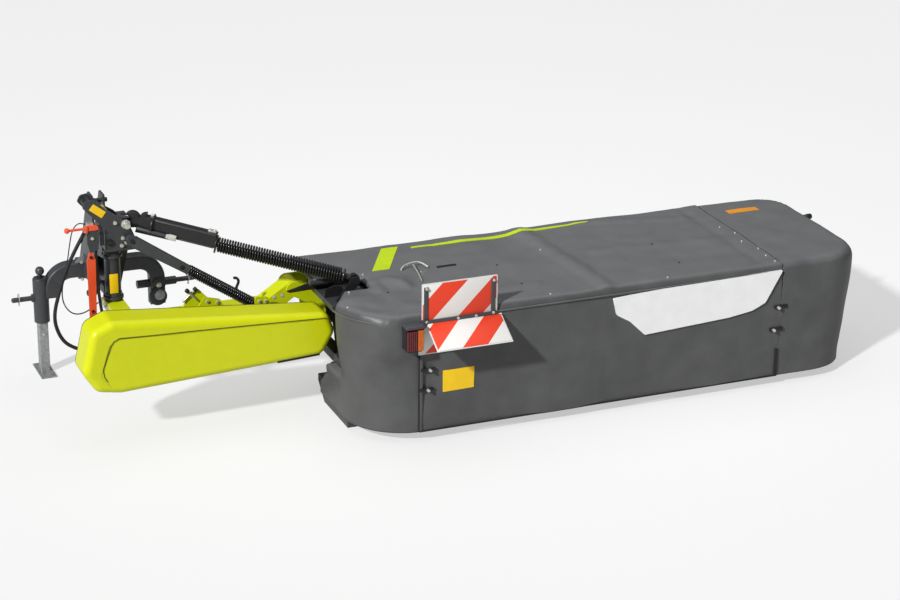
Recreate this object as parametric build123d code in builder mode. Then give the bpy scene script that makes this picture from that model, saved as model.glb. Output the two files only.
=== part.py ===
from build123d import *
import os
from math import cos, radians, sin, tan

os.makedirs("parts", exist_ok=True)

# Mounted disc mower, parked on its stand leg and its cutterbar.
# Millimetres. +X runs out along the cutterbar, +Y is the way of travel, +Z is up.
# The origin is under the stand leg, on the floor.

# Three-point hitch, category II
LINK_SPAN = 825
LINK_PIN_DIA = 28
LINK_PIN_LENGTH = 112
LINK_PIN_Z = 445
LEFT_SHOULDER_X = -53
TOP_PIN_DIA = 25.4
TOP_GAP = 52
TOP_PIN_Y = -240
MAST_HEIGHT = 610
HEAD_X = 275
EAR_T = 12

# Headstock arch
ARCH_Y = 0
ARCH_DEPTH = 80
ARCH_WIDTH = 86
ARCH_Z = 588
ARCH_BEND = 110
ARCH_RIGHT_X = 660
ARCH_EDGE_R = 14
COLLAR_WIDTH = 130

# Stand
STAND_TUBE_DIA = 86
STAND_WALL = 4
STAND_SLEEVE_LOW = 303
STAND_SLEEVE_TOP = 553
LEG_SIDE = 54
LEG_WALL = 4
LEG_TRAVEL = 160
LEG_HEADROOM = 8
FOOT_LENGTH = 220
FOOT_WIDTH = 86
FOOT_T = 8

# Kingpin and the swing frame that turns on it
KINGPIN_Y = -540
KINGPIN_DIA = 60
KINGPIN_TUBE_DIA = 86
KINGPIN_TUBE_LOW = 600
KINGPIN_TUBE_TOP = 874
RUN_CLEARANCE = 0.05
FACE_GAP = 8
MAST_GAP = 104
MAST_PLATE_T = 10

# Boom between the swing frame and the mower
BOOM_HINGE_Z = 500
BOOM_HINGE_R = 56
BOOM_Y_REAR = -745
BOOM_Y_FRONT = -635
BOOM_DEPTH_Z = 80
SIDE_GAP = 6
CHEEK_T = 14
UNIT_HINGE_X = 1222
UNIT_HINGE_Z = 600
UNIT_HINGE_R = 44
HINGE_PIN_DIA = 40

# Input shaft
STUB_DIA = 35
STUB_LENGTH = 80
SHAFT_DIA = 42
SHAFT_FRONT_Y = -300
PULLEY_DIA = 320
PULLEY_T = 90

# Belt drive guard
BELT_REAR_Y = -1140
BELT_FRONT_Y = -960
BELT_EDGE_R = 40
BELT_WALL = 5
BELT_CORNER_R = 62
BELT_GROOVE = 9

# Relief struts: head points on the mast and far points at rest
UPPER_HEAD = (344, KINGPIN_Y, 1028)
UPPER_EYE = (1446, -1090, 752)
UPPER_CHANNEL = 0.40
CHANNEL_START = 118
CHANNEL_WIDTH = 64
CHANNEL_LOW = -16
CHANNEL_HIGH = 62
CHANNEL_WALL = 6
HEAD_HUB_R = 40
HEAD_HUB_RISE = 34
YOKE_T = 8
YOKE_GAP = 64
TRUNNION_DIA = 28
STRUT_SPRING_DIA = 72
STRUT_ROD_DIA = 32
STRUT_RETRACT = 335
EYE_R = 26
EYE_T = 30
TONGUE_Y = -1130
TONGUE_T = 12
EYE_SLOT = 180
LOWER_HEAD = (362, -632, 947)
LOWER_EYE = (1043, -790, 520)
LOWER_TUBE = 0.42
LOWER_SPRING_DIA = 50
LOWER_ROD_DIA = 24
LUG_T = 10

# Cutterbar with its discs
DISC_COUNT = 6
DISC_PITCH = 420
DISC_X0 = 1702
DISC_Y = -1120
DISC_R = 150
DISC_Z = 124
BLADE_R = 260
BLADE_T = 4
BLADE_DROP = 8
BAR_DEPTH = 250
BAR_LOW = 22
BAR_TOP = 105
SKID_WIDTH = 180
SHOE_T = 100
SHOE_TOP = 130

# Safety covers
COVER_LEFT_X = 1240
COVER_RIGHT_X = 4300
COVER_REAR_Y = -1640
COVER_FRONT_Y = -580
ROOF_Z = 718
ROOF_T = 6
RIM_Z = 655
HEM_Z = 60
CURTAIN_T = 6
SIDE_LOW_TOP = 285
NOTCH_X = 1446
NOTCH_Y = -1310
SEAM_LEFT_X = 1602
SEAM_RIGHT_X = 3752
SEAM_GAP = 8
CORNER_LEFT_R = 330
CORNER_RIGHT_R = 260
CORNER_FRONT_R = 200
FLAP_HINGE_Y = -940
FLAP_HINGE_Z = 700
FLAP_TUBE_DIA = 36
MAIN_TUBE = 70
STAY_DIA = 28
COVER_EDGE_R = 14
HEM_TAPER = 60

# Warning board above the rear edge, its tilted flap and the tail lamp
BOARD_LEFT_X = 1612
BOARD_WIDTH = 423
BOARD_LOW_Z = 676
BOARD_HIGH_Z = 893
BOARD_T = 3
BOARD_FLAP_LENGTH = 188
BOARD_FLAP_TILT = 60
LAMP_LEFT_X = 1503
LAMP_WIDTH = 100
LAMP_LOW_Z = 547
LAMP_HEIGHT = 142

# Return hose beside the stand
HOSE_DIA = 20
HOSE_Y = -598
HOSE_POINTS = ((118, 1010), (29, 863), (-30, 700), (-69, 560), (-45, 450), (10, 375), (92, 342))

RIGHT_SHOULDER_X = LEFT_SHOULDER_X + LINK_SPAN
TOP_PIN_Z = LINK_PIN_Z + MAST_HEIGHT


def across(y):
    """Upright plane facing the rear at a given Y: local x is X, local y is Z."""
    return Plane.XZ.offset(-y)


def along(x):
    """Upright plane facing the outer end at a given X: local x is Y, local y is Z."""
    return Plane.YZ.offset(x)


def save(block, name):
    block.part.label = name
    export_step(block.part, "parts/" + name + ".step")


# Headstock arch, one bent box beam from the stand to the right-hand foot
with BuildPart() as headstock_arch:
    with BuildSketch(across(ARCH_Y + ARCH_DEPTH / 2)):
        with BuildLine():
            FilletPolyline(
                (STAND_TUBE_DIA / 2 + 15, LINK_PIN_Z - 5),
                (STAND_TUBE_DIA / 2 + 15, ARCH_Z),
                (ARCH_RIGHT_X, ARCH_Z),
                (ARCH_RIGHT_X, LINK_PIN_Z - 120),
                radius=ARCH_BEND,
            )
        trace(line_width=ARCH_WIDTH)
    extrude(amount=ARCH_DEPTH)
    rims = headstock_arch.edges().filter_by(Axis.Y, reverse=True)
    fillet(rims, ARCH_EDGE_R)
    with BuildSketch(Plane.XY):
        Circle(STAND_TUBE_DIA / 2)
    extrude(amount=ARCH_Z + ARCH_WIDTH, mode=Mode.SUBTRACT)
save(headstock_arch, "headstock_arch")

# Lower link pins with their shoulders, and the inner stub on the right-hand foot
with BuildPart() as lower_link_pins:
    pin_radius = LINK_PIN_DIA / 2
    boss_radius = pin_radius + 9
    with BuildSketch(Plane.XZ):
        with BuildLine():
            Polyline(
                (LEFT_SHOULDER_X + 15, LINK_PIN_Z),
                (LEFT_SHOULDER_X + 15, LINK_PIN_Z + boss_radius),
                (LEFT_SHOULDER_X, LINK_PIN_Z + boss_radius),
                (LEFT_SHOULDER_X, LINK_PIN_Z + pin_radius),
                (LEFT_SHOULDER_X - LINK_PIN_LENGTH + 6, LINK_PIN_Z + pin_radius),
                (LEFT_SHOULDER_X - LINK_PIN_LENGTH, LINK_PIN_Z + pin_radius - 6),
                (LEFT_SHOULDER_X - LINK_PIN_LENGTH, LINK_PIN_Z),
                close=True,
            )
        make_face()
    revolve(axis=Axis((0, 0, LINK_PIN_Z), (1, 0, 0)))
    right_face_x = ARCH_RIGHT_X + ARCH_WIDTH / 2
    with BuildSketch(across(ARCH_Y)):
        with BuildLine():
            Polyline(
                (right_face_x, LINK_PIN_Z),
                (right_face_x, LINK_PIN_Z + boss_radius),
                (RIGHT_SHOULDER_X, LINK_PIN_Z + boss_radius),
                (RIGHT_SHOULDER_X, LINK_PIN_Z + pin_radius),
                (RIGHT_SHOULDER_X + LINK_PIN_LENGTH - 6, LINK_PIN_Z + pin_radius),
                (RIGHT_SHOULDER_X + LINK_PIN_LENGTH, LINK_PIN_Z + pin_radius - 6),
                (RIGHT_SHOULDER_X + LINK_PIN_LENGTH, LINK_PIN_Z),
                close=True,
            )
        make_face()
    revolve(axis=Axis((0, ARCH_Y, LINK_PIN_Z), (1, 0, 0)))
    with BuildSketch(Plane.XY.offset(LINK_PIN_Z - 60)):
        Circle(STAND_TUBE_DIA / 2)
    extrude(amount=120, mode=Mode.SUBTRACT)
    with BuildSketch(along(ARCH_RIGHT_X - ARCH_WIDTH / 2 - 70)):
        with Locations((ARCH_Y, LINK_PIN_Z)):
            Circle(23)
    extrude(amount=70)
save(lower_link_pins, "lower_link_pins")

# Tower: collar round the arch and two upright cheeks to the top link ears and back to the kingpin tube
with BuildPart() as tower:
    inner = TOP_GAP / 2
    arch_top = ARCH_Z + ARCH_WIDTH / 2
    arch_front = ARCH_Y + ARCH_DEPTH / 2
    arch_rear = ARCH_Y - ARCH_DEPTH / 2
    tube_front = KINGPIN_Y + KINGPIN_TUBE_DIA / 2
    for side in (-1, 1):
        start = HEAD_X + side * inner if side > 0 else HEAD_X - inner - EAR_T
        with BuildSketch(along(start)):
            with BuildLine():
                Polyline(
                    (arch_front, arch_top),
                    (TOP_PIN_Y + 40, TOP_PIN_Z + 42),
                    (TOP_PIN_Y - 45, TOP_PIN_Z + 42),
                    (TOP_PIN_Y - 60, KINGPIN_TUBE_TOP),
                    (tube_front + 6, KINGPIN_TUBE_TOP),
                    (tube_front + 6, KINGPIN_TUBE_TOP - 60),
                    (TOP_PIN_Y - 90, KINGPIN_TUBE_TOP - 90),
                    (TOP_PIN_Y - 70, KINGPIN_TUBE_LOW + 60),
                    (tube_front + 6, KINGPIN_TUBE_LOW + 50),
                    (tube_front + 6, KINGPIN_TUBE_LOW + 4),
                    (tube_front + 60, KINGPIN_TUBE_LOW + 4),
                    (arch_rear - 2, ARCH_Z - 40),
                    (arch_rear - 2, arch_top),
                    close=True,
                )
            make_face()
            with Locations((TOP_PIN_Y, TOP_PIN_Z)):
                Circle(TOP_PIN_DIA / 2 + 0.2, mode=Mode.SUBTRACT)
        extrude(amount=EAR_T)
    for low in (KINGPIN_TUBE_LOW + 4, KINGPIN_TUBE_TOP - 34):
        with BuildSketch(Plane.XY.offset(low)):
            with Locations((HEAD_X, KINGPIN_Y)):
                Circle(KINGPIN_TUBE_DIA / 2 + 12)
            with Locations((HEAD_X, (KINGPIN_Y + TOP_PIN_Y - 70) / 2)):
                Rectangle(TOP_GAP + 2 * EAR_T, abs(KINGPIN_Y - TOP_PIN_Y) - 70)
            with Locations((HEAD_X, KINGPIN_Y)):
                Circle(KINGPIN_TUBE_DIA / 2, mode=Mode.SUBTRACT)
        extrude(amount=14)
    with BuildSketch(along(HEAD_X - COLLAR_WIDTH / 2)):
        with Locations((ARCH_Y, ARCH_Z)):
            RectangleRounded(ARCH_DEPTH + 20, ARCH_WIDTH + 20, ARCH_EDGE_R + 8)
    extrude(amount=COLLAR_WIDTH)
    with BuildSketch(along(HEAD_X - COLLAR_WIDTH)):
        with Locations((ARCH_Y, ARCH_Z)):
            RectangleRounded(ARCH_DEPTH, ARCH_WIDTH, ARCH_EDGE_R)
    extrude(amount=2 * COLLAR_WIDTH, mode=Mode.SUBTRACT)
save(tower, "tower")

# Kingpin tube, the fixed upright bearing of the swing frame
with BuildPart() as kingpin_tube:
    with BuildSketch(Plane.XY.offset(KINGPIN_TUBE_LOW)):
        with Locations((HEAD_X, KINGPIN_Y)):
            Circle(KINGPIN_TUBE_DIA / 2)
            Circle(KINGPIN_DIA / 2 + RUN_CLEARANCE, mode=Mode.SUBTRACT)
    extrude(amount=KINGPIN_TUBE_TOP - KINGPIN_TUBE_LOW)
save(kingpin_tube, "kingpin_tube")

# Top link pin with its head
with BuildPart() as top_link_pin:
    pin_left = HEAD_X - TOP_GAP / 2 - EAR_T - 16
    pin_right = HEAD_X + TOP_GAP / 2 + EAR_T + 22
    with BuildSketch(along(pin_left)):
        with Locations((TOP_PIN_Y, TOP_PIN_Z)):
            Circle(TOP_PIN_DIA / 2)
    extrude(amount=pin_right - pin_left)
    with BuildSketch(along(pin_left - 8)):
        with Locations((TOP_PIN_Y, TOP_PIN_Z)):
            Circle(TOP_PIN_DIA / 2 + 6)
    extrude(amount=8)
save(top_link_pin, "top_link_pin")

# Stand sleeve, a round tube with a closed cap and the ball knob of its locking pin
with BuildPart() as stand_sleeve:
    with BuildSketch(Plane.XY.offset(STAND_SLEEVE_LOW)):
        Circle(STAND_TUBE_DIA / 2)
        Circle(STAND_TUBE_DIA / 2 - STAND_WALL, mode=Mode.SUBTRACT)
    extrude(amount=STAND_SLEEVE_TOP - STAND_SLEEVE_LOW)
    with BuildSketch(Plane.XY.offset(STAND_SLEEVE_TOP)):
        Circle(STAND_TUBE_DIA / 2 - 2)
    extrude(amount=8, taper=20)
    with BuildSketch(Plane.XY.offset(STAND_SLEEVE_TOP + 8)):
        Circle(10)
    extrude(amount=22)
    with Locations((0, 0, STAND_SLEEVE_TOP + 47)):
        Sphere(25)
save(stand_sleeve, "stand_sleeve")

# Stand leg, a square tube with a pin hole and a bent foot plate
leg_top = STAND_SLEEVE_TOP - LEG_TRAVEL - LEG_HEADROOM
with BuildPart() as stand_leg:
    with BuildSketch(Plane.XY.offset(FOOT_T)):
        RectangleRounded(LEG_SIDE, LEG_SIDE, 6)
        Rectangle(LEG_SIDE - 2 * LEG_WALL, LEG_SIDE - 2 * LEG_WALL, mode=Mode.SUBTRACT)
    extrude(amount=leg_top - FOOT_T)
    with BuildSketch(Plane.XY):
        Rectangle(FOOT_WIDTH, FOOT_LENGTH)
    extrude(amount=FOOT_T)
    with BuildSketch(across(LEG_SIDE)):
        with Locations((0, 231)):
            Circle(7)
    extrude(amount=2 * LEG_SIDE, mode=Mode.SUBTRACT)
save(stand_leg, "stand_leg")

# Kingpin of the swing frame, running in its tube
fork_top = KINGPIN_TUBE_LOW - FACE_GAP
mast_low = KINGPIN_TUBE_TOP + FACE_GAP
with BuildPart() as kingpin:
    with BuildSketch(Plane.XY.offset(fork_top)):
        with Locations((HEAD_X, KINGPIN_Y)):
            Circle(KINGPIN_DIA / 2)
    extrude(amount=mast_low - fork_top)
save(kingpin, "kingpin")

# Swing fork under the kingpin, with the hollow bush that the boom turns on
rear_cheek = BOOM_Y_REAR - SIDE_GAP - CHEEK_T
front_cheek = BOOM_Y_FRONT + SIDE_GAP
fork_front = KINGPIN_Y + KINGPIN_TUBE_DIA / 2
bush_radius = BOOM_HINGE_R - 18
with BuildPart() as swing_fork:
    with BuildSketch(Plane.XY.offset(fork_top - 22)):
        with Locations((HEAD_X, (rear_cheek + fork_front) / 2)):
            Rectangle(96, fork_front - rear_cheek)
    extrude(amount=22)
    for cheek in (rear_cheek, front_cheek):
        with BuildSketch(across(cheek + CHEEK_T)):
            with Locations((HEAD_X, BOOM_HINGE_Z)):
                Circle(BOOM_HINGE_R)
            with Locations((HEAD_X, (BOOM_HINGE_Z + fork_top - 22) / 2)):
                Rectangle(96, fork_top - 22 - BOOM_HINGE_Z)
        extrude(amount=CHEEK_T)
    with BuildSketch(across(front_cheek + CHEEK_T)):
        with Locations((HEAD_X, BOOM_HINGE_Z)):
            Circle(bush_radius)
    extrude(amount=front_cheek + CHEEK_T - rear_cheek)
    with BuildSketch(across(front_cheek + CHEEK_T)):
        with Locations((HEAD_X, BOOM_HINGE_Z)):
            Circle(bush_radius - 8)
    extrude(amount=front_cheek + CHEEK_T - rear_cheek, mode=Mode.SUBTRACT)
save(swing_fork, "swing_fork")

# Mast on top of the kingpin: two inclined plates that hold the heads of both struts
mast_outline = [
    (106, 1142),
    (126, 1190),
    (190, 1196),
    (268, 1116),
    (330, 1080),
    (370, 1062),
    (376, 1000),
    (402, 945),
    (404, mast_low),
    (228, mast_low),
    (228, 1030),
]
mast_rear = KINGPIN_Y - MAST_GAP / 2 - MAST_PLATE_T
with BuildPart() as mast_plates:
    for rear in (mast_rear, KINGPIN_Y + MAST_GAP / 2):
        with BuildSketch(across(rear + MAST_PLATE_T)) as mast_face:
            with BuildLine():
                Polyline(*mast_outline, close=True)
            make_face()
            fillet(mast_face.vertices(), 8)
        extrude(amount=MAST_PLATE_T)
save(mast_plates, "mast_plates")

# Braces between the mast plates: base on the kingpin, yoke of the swivelling head, two pins
with BuildPart() as mast_braces:
    with BuildSketch(Plane.XY.offset(mast_low)):
        with Locations((HEAD_X + 20, KINGPIN_Y)):
            Rectangle(120, MAST_GAP)
    extrude(amount=20)
    for low in (UPPER_HEAD[2] + YOKE_GAP / 2, UPPER_HEAD[2] - YOKE_GAP / 2 - YOKE_T):
        with BuildSketch(Plane.XY.offset(low)):
            with Locations((UPPER_HEAD[0] - 6, KINGPIN_Y)):
                Rectangle(52, MAST_GAP)
            with Locations((UPPER_HEAD[0], KINGPIN_Y)):
                Circle(TRUNNION_DIA / 2 + RUN_CLEARANCE, mode=Mode.SUBTRACT)
        extrude(amount=YOKE_T)
    for place, size in (((158, 1150), 20), ((300, 945), 16)):
        with BuildSketch(across(KINGPIN_Y + MAST_GAP / 2)):
            with Locations(place):
                Circle(size)
        extrude(amount=MAST_GAP)
save(mast_braces, "mast_braces")

# Red transport lock bar with its holes
lever_y = mast_rear - 30
with BuildPart() as lock_lever:
    with BuildSketch(across(lever_y + 10)) as bar_face:
        with BuildLine():
            Polyline((120, 540), (158, 540), (164, 862), (150, 905), (132, 905), (118, 862), close=True)
        make_face()
        fillet(bar_face.vertices(), 8)
        with Locations((139, 562)):
            Circle(6, mode=Mode.SUBTRACT)
    extrude(amount=10)
save(lock_lever, "lock_lever")

# Dark guide plate above the bar, and the red cap with its pull handle
with BuildPart() as lock_plate:
    with BuildSketch(across(lever_y + 12)) as guide_face:
        with BuildLine():
            Polyline((136, 905), (182, 918), (190, 1010), (172, 1030), (126, 1030), (122, 960), close=True)
        make_face()
        fillet(guide_face.vertices(), 8)
    extrude(amount=14)
save(lock_plate, "lock_plate")
with BuildPart() as lock_handle:
    with BuildSketch(across(lever_y + 16)):
        with Locations((152, 1041)):
            RectangleRounded(64, 22, 6)
    extrude(amount=22)
    with BuildSketch(across(lever_y + 5)):
        with BuildLine():
            Polyline(
                (122, 1041),
                (122, 1048),
                (30, 1048),
                (26, 1055),
                (14, 1056),
                (6, 1050),
                (4, 1041),
                close=True,
            )
        make_face()
    revolve(axis=Axis((0, lever_y + 5, 1041), (1, 0, 0)))
save(lock_handle, "lock_handle")

# Arm from the tower that holds the lock lever
with BuildPart() as lever_arm:
    arm_low = KINGPIN_TUBE_LOW + 60
    with BuildSketch(Plane.XY.offset(arm_low)):
        with BuildLine():
            Polyline(
                (HEAD_X - TOP_GAP / 2 - EAR_T, -380),
                (HEAD_X - TOP_GAP / 2 - EAR_T, -440),
                (164, lever_y + 10),
                (116, lever_y + 10),
                (116, lever_y + 40),
                close=True,
            )
        make_face()
    extrude(amount=16)
save(lever_arm, "lever_arm")

# Input shaft through the boom hinge to the belt pulley
with BuildPart() as input_shaft:
    with BuildSketch(across(SHAFT_FRONT_Y)):
        with Locations((HEAD_X, BOOM_HINGE_Z)):
            Circle(STUB_DIA / 2)
    extrude(amount=STUB_LENGTH)
    with BuildSketch(across(SHAFT_FRONT_Y - STUB_LENGTH)):
        with Locations((HEAD_X, BOOM_HINGE_Z)):
            Circle(SHAFT_DIA / 2)
    extrude(amount=SHAFT_FRONT_Y - STUB_LENGTH - BELT_FRONT_Y + 20)
    with BuildSketch(across(BELT_FRONT_Y - 20)):
        with Locations((HEAD_X, BOOM_HINGE_Z)):
            Circle(PULLEY_DIA / 2)
    extrude(amount=PULLEY_T)
save(input_shaft, "input_shaft")

# Boom, a lime box beam with a knuckle at each end
with BuildPart() as boom_beam:
    with BuildSketch(across(BOOM_Y_FRONT)):
        with BuildLine():
            Polyline(
                (HEAD_X, BOOM_HINGE_Z - BOOM_DEPTH_Z / 2),
                (1100, BOOM_HINGE_Z - BOOM_DEPTH_Z / 2),
                (UNIT_HINGE_X + 26, UNIT_HINGE_Z - 34),
                (UNIT_HINGE_X - 30, UNIT_HINGE_Z + 30),
                (1050, BOOM_HINGE_Z + BOOM_DEPTH_Z / 2),
                (HEAD_X, BOOM_HINGE_Z + BOOM_DEPTH_Z / 2),
                close=True,
            )
        make_face()
        with Locations((HEAD_X, BOOM_HINGE_Z)):
            Circle(BOOM_HINGE_R)
        with Locations((UNIT_HINGE_X, UNIT_HINGE_Z)):
            Circle(UNIT_HINGE_R)
        with Locations((HEAD_X, BOOM_HINGE_Z)):
            Circle(bush_radius + RUN_CLEARANCE, mode=Mode.SUBTRACT)
        with Locations((UNIT_HINGE_X, UNIT_HINGE_Z)):
            Circle(HINGE_PIN_DIA / 2 + RUN_CLEARANCE, mode=Mode.SUBTRACT)
    extrude(amount=BOOM_Y_FRONT - BOOM_Y_REAR)
save(boom_beam, "boom_beam")

# Brackets on the boom: an upright pair and the lugs of the lower strut
boom_top = BOOM_HINGE_Z + BOOM_DEPTH_Z / 2
with BuildPart() as boom_brackets:
    with BuildSketch(across(BOOM_Y_REAR + 40)):
        with BuildLine():
            Polyline((600, boom_top), (640, 640), (700, 652), (800, boom_top), close=True)
        make_face()
    extrude(amount=14)
    for lug in (BOOM_Y_REAR - LUG_T, LOWER_EYE[1] - 38):
        with BuildSketch(across(lug + LUG_T)):
            with Locations((LOWER_EYE[0], LOWER_EYE[2])):
                Circle(24)
            with Locations((LOWER_EYE[0], 480)):
                Rectangle(48, 80)
        extrude(amount=LUG_T)
    with BuildSketch(Plane.XY.offset(450)):
        with Locations((LOWER_EYE[0], (BOOM_Y_REAR + LOWER_EYE[1] - 38) / 2)):
            Rectangle(48, BOOM_Y_REAR - LOWER_EYE[1] + 38)
    extrude(amount=12)
save(boom_brackets, "boom_brackets")

# Belt guard, a hollow moulded shell with a bevelled face
belt_outline = [
    (-50, 430),
    (2, 655),
    (110, 702),
    (1288, 590),
    (1328, 478),
    (1255, 352),
    (150, 296),
    (22, 318),
]
belt_depth = BELT_FRONT_Y - BELT_REAR_Y
with BuildPart() as belt_cover:
    with BuildSketch(across(BELT_FRONT_Y)) as belt_rim:
        with BuildLine():
            Polyline(*belt_outline, close=True)
        make_face()
        fillet(belt_rim.vertices(), BELT_CORNER_R)
    extrude(amount=belt_depth)
    face_edges = belt_cover.faces().sort_by(Axis.Y)[0].edges()
    fillet(face_edges, BELT_EDGE_R)
    with BuildSketch(across(BELT_FRONT_Y)) as belt_hollow:
        with BuildLine():
            Polyline(*belt_outline, close=True)
        make_face()
        fillet(belt_hollow.vertices(), BELT_CORNER_R)
        offset(amount=-BELT_WALL, mode=Mode.REPLACE)
    extrude(amount=belt_depth - BELT_EDGE_R, mode=Mode.SUBTRACT)
    with BuildSketch(across(BELT_REAR_Y + 3)):
        with BuildLine():
            FilletPolyline((1207, 558), (144, 610), (95, 572), (46, 412), (102, 342), radius=24)
        trace(line_width=BELT_GROOVE)
    extrude(amount=3, mode=Mode.SUBTRACT)
save(belt_cover, "belt_cover")

# Back plate that closes the belt guard on its front side
with BuildPart() as belt_back:
    with BuildSketch(across(BELT_FRONT_Y + 8)) as back_face:
        with BuildLine():
            Polyline(*belt_outline, close=True)
        make_face()
        fillet(back_face.vertices(), BELT_CORNER_R)
        with Locations((HEAD_X, BOOM_HINGE_Z)):
            Circle(SHAFT_DIA / 2 + 12, mode=Mode.SUBTRACT)
    extrude(amount=8)
    with BuildSketch(Plane.XY.offset(BOOM_HINGE_Z - 36)):
        for stay in (560, 980):
            with Locations((stay, (BELT_FRONT_Y + 8 + BOOM_Y_REAR) / 2)):
                Rectangle(60, BOOM_Y_REAR - BELT_FRONT_Y - 8)
    extrude(amount=30)
save(belt_back, "belt_back")


def strut_frame(head, eye):
    """Plane at a strut's head whose local z runs down its axis, and its length."""
    direction = Vector(*eye) - Vector(*head)
    side = Vector(0, 0, 1).cross(direction).normalized()
    return Plane(origin=head, x_dir=side, z_dir=direction.normalized()), direction.length


upper_plane, upper_length = strut_frame(UPPER_HEAD, UPPER_EYE)
lower_plane, lower_length = strut_frame(LOWER_HEAD, LOWER_EYE)

# Swivelling head of the upper strut: slotted block, upright trunnions and cross pin
reach = Vector(UPPER_EYE[0] - UPPER_HEAD[0], UPPER_EYE[1] - UPPER_HEAD[1], 0).normalized()
head_plane = Plane(origin=UPPER_HEAD, x_dir=reach, z_dir=(0, 0, 1))
cross_plane = Plane(origin=UPPER_HEAD, x_dir=reach, z_dir=Vector(0, 0, 1).cross(reach))
tongue_width = 24
with BuildPart() as strut_knuckle:
    with BuildSketch(head_plane.offset(2 - YOKE_GAP / 2)):
        RectangleRounded(36, 46, 6)
    extrude(amount=YOKE_GAP - 4)
    with BuildSketch(head_plane.offset(10 - YOKE_GAP / 2)):
        Rectangle(60, tongue_width + 2)
    extrude(amount=YOKE_GAP - 20, mode=Mode.SUBTRACT)
    for low in (YOKE_GAP / 2 - 2, -YOKE_GAP / 2 - YOKE_T - 2):
        with BuildSketch(head_plane.offset(low)):
            Circle(TRUNNION_DIA / 2)
        extrude(amount=YOKE_T + 4)
    with BuildSketch(cross_plane.offset(-23)):
        Circle(10)
    extrude(amount=46)
save(strut_knuckle, "strut_knuckle")

# Tongue and rounded black head at the top of the channel
channel_end = upper_length * UPPER_CHANNEL
channel_plane = Plane(
    origin=UPPER_HEAD,
    x_dir=upper_plane.z_dir,
    z_dir=reach.cross(Vector(0, 0, 1)),
)
with BuildPart() as channel_head:
    with BuildSketch(channel_plane.offset(-tongue_width / 2)):
        SlotCenterPoint((CHANNEL_START / 2 - 12, 0), (CHANNEL_START - 24, 0), 28)
        Circle(10 + RUN_CLEARANCE, mode=Mode.SUBTRACT)
    extrude(amount=tongue_width)
    with BuildSketch(channel_plane.offset(-CHANNEL_WIDTH / 2 + 4)):
        with Locations((CHANNEL_START, HEAD_HUB_RISE)):
            Circle(HEAD_HUB_R)
        with Locations((CHANNEL_START + HEAD_HUB_R, HEAD_HUB_RISE)):
            Rectangle(2 * HEAD_HUB_R, 4 * HEAD_HUB_R, mode=Mode.SUBTRACT)
    extrude(amount=CHANNEL_WIDTH - 8)
save(channel_head, "channel_head")

# Upper strut: channel open below, with a guide plate for the rod at its lower end
with BuildPart() as upper_channel:
    with BuildSketch(upper_plane.offset(CHANNEL_START)):
        with Locations((0, (CHANNEL_LOW + CHANNEL_HIGH) / 2)):
            RectangleRounded(CHANNEL_WIDTH, CHANNEL_HIGH - CHANNEL_LOW, 10)
    extrude(amount=channel_end - CHANNEL_START)
    with BuildSketch(upper_plane.offset(CHANNEL_START)):
        with Locations((0, (CHANNEL_LOW + CHANNEL_HIGH) / 2 - CHANNEL_WALL)):
            Rectangle(CHANNEL_WIDTH - 2 * CHANNEL_WALL, CHANNEL_HIGH - CHANNEL_LOW)
    extrude(amount=channel_end - CHANNEL_START - 12, mode=Mode.SUBTRACT)
    with BuildSketch(upper_plane.offset(channel_end - 12)):
        Circle(STRUT_ROD_DIA / 2 + 0.5)
    extrude(amount=12, mode=Mode.SUBTRACT)
save(upper_channel, "upper_channel")

# Upper strut: rod that carries the eye
rod_start = CHANNEL_START + STRUT_RETRACT + 4
with BuildPart() as upper_rod:
    with BuildSketch(upper_plane.offset(rod_start)):
        Circle(STRUT_ROD_DIA / 2)
    extrude(amount=upper_length - rod_start - 20)
    with BuildSketch(across(UPPER_EYE[1] + EYE_T / 2)):
        with Locations((UPPER_EYE[0], UPPER_EYE[2])):
            Circle(EYE_R)
    extrude(amount=EYE_T)
save(upper_rod, "upper_rod")

# Upper strut: relief spring round the rod
with BuildPart() as upper_spring:
    with BuildSketch(upper_plane.offset(channel_end + 4)):
        Circle(STRUT_SPRING_DIA / 2)
        Circle(STRUT_ROD_DIA / 2 + 2, mode=Mode.SUBTRACT)
    extrude(amount=upper_length - channel_end - 4 - 56)
save(upper_spring, "upper_spring")

# Lower strut: tapered tube
tube_end = lower_length * LOWER_TUBE
with BuildPart() as lower_tube:
    with BuildSketch(lower_plane.offset(10)):
        Rectangle(30, 60)
    with BuildSketch(lower_plane.offset(tube_end)):
        Rectangle(34, 44)
    loft()
    with BuildSketch(across(LOWER_HEAD[1] + 15)):
        with Locations((LOWER_HEAD[0], LOWER_HEAD[2])):
            Circle(30)
    extrude(amount=30)
    with BuildSketch(lower_plane.offset(tube_end)):
        Circle(LOWER_ROD_DIA / 2 + 1)
    extrude(amount=-120, mode=Mode.SUBTRACT)
save(lower_tube, "lower_tube")

# Lower strut: rod with its eye
with BuildPart() as lower_rod:
    with BuildSketch(lower_plane.offset(tube_end - 30)):
        Circle(LOWER_ROD_DIA / 2)
    extrude(amount=lower_length - tube_end + 30)
    with BuildSketch(across(LOWER_EYE[1] + 10)):
        with Locations((LOWER_EYE[0], LOWER_EYE[2])):
            Circle(20)
    extrude(amount=20)
save(lower_rod, "lower_rod")

# Lower strut: spring round the rod
with BuildPart() as lower_spring:
    with BuildSketch(lower_plane.offset(tube_end + 2)):
        Circle(LOWER_SPRING_DIA / 2)
        Circle(LOWER_ROD_DIA / 2 + 2, mode=Mode.SUBTRACT)
    extrude(amount=lower_length - tube_end - 2 - 60)
save(lower_spring, "lower_spring")

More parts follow.
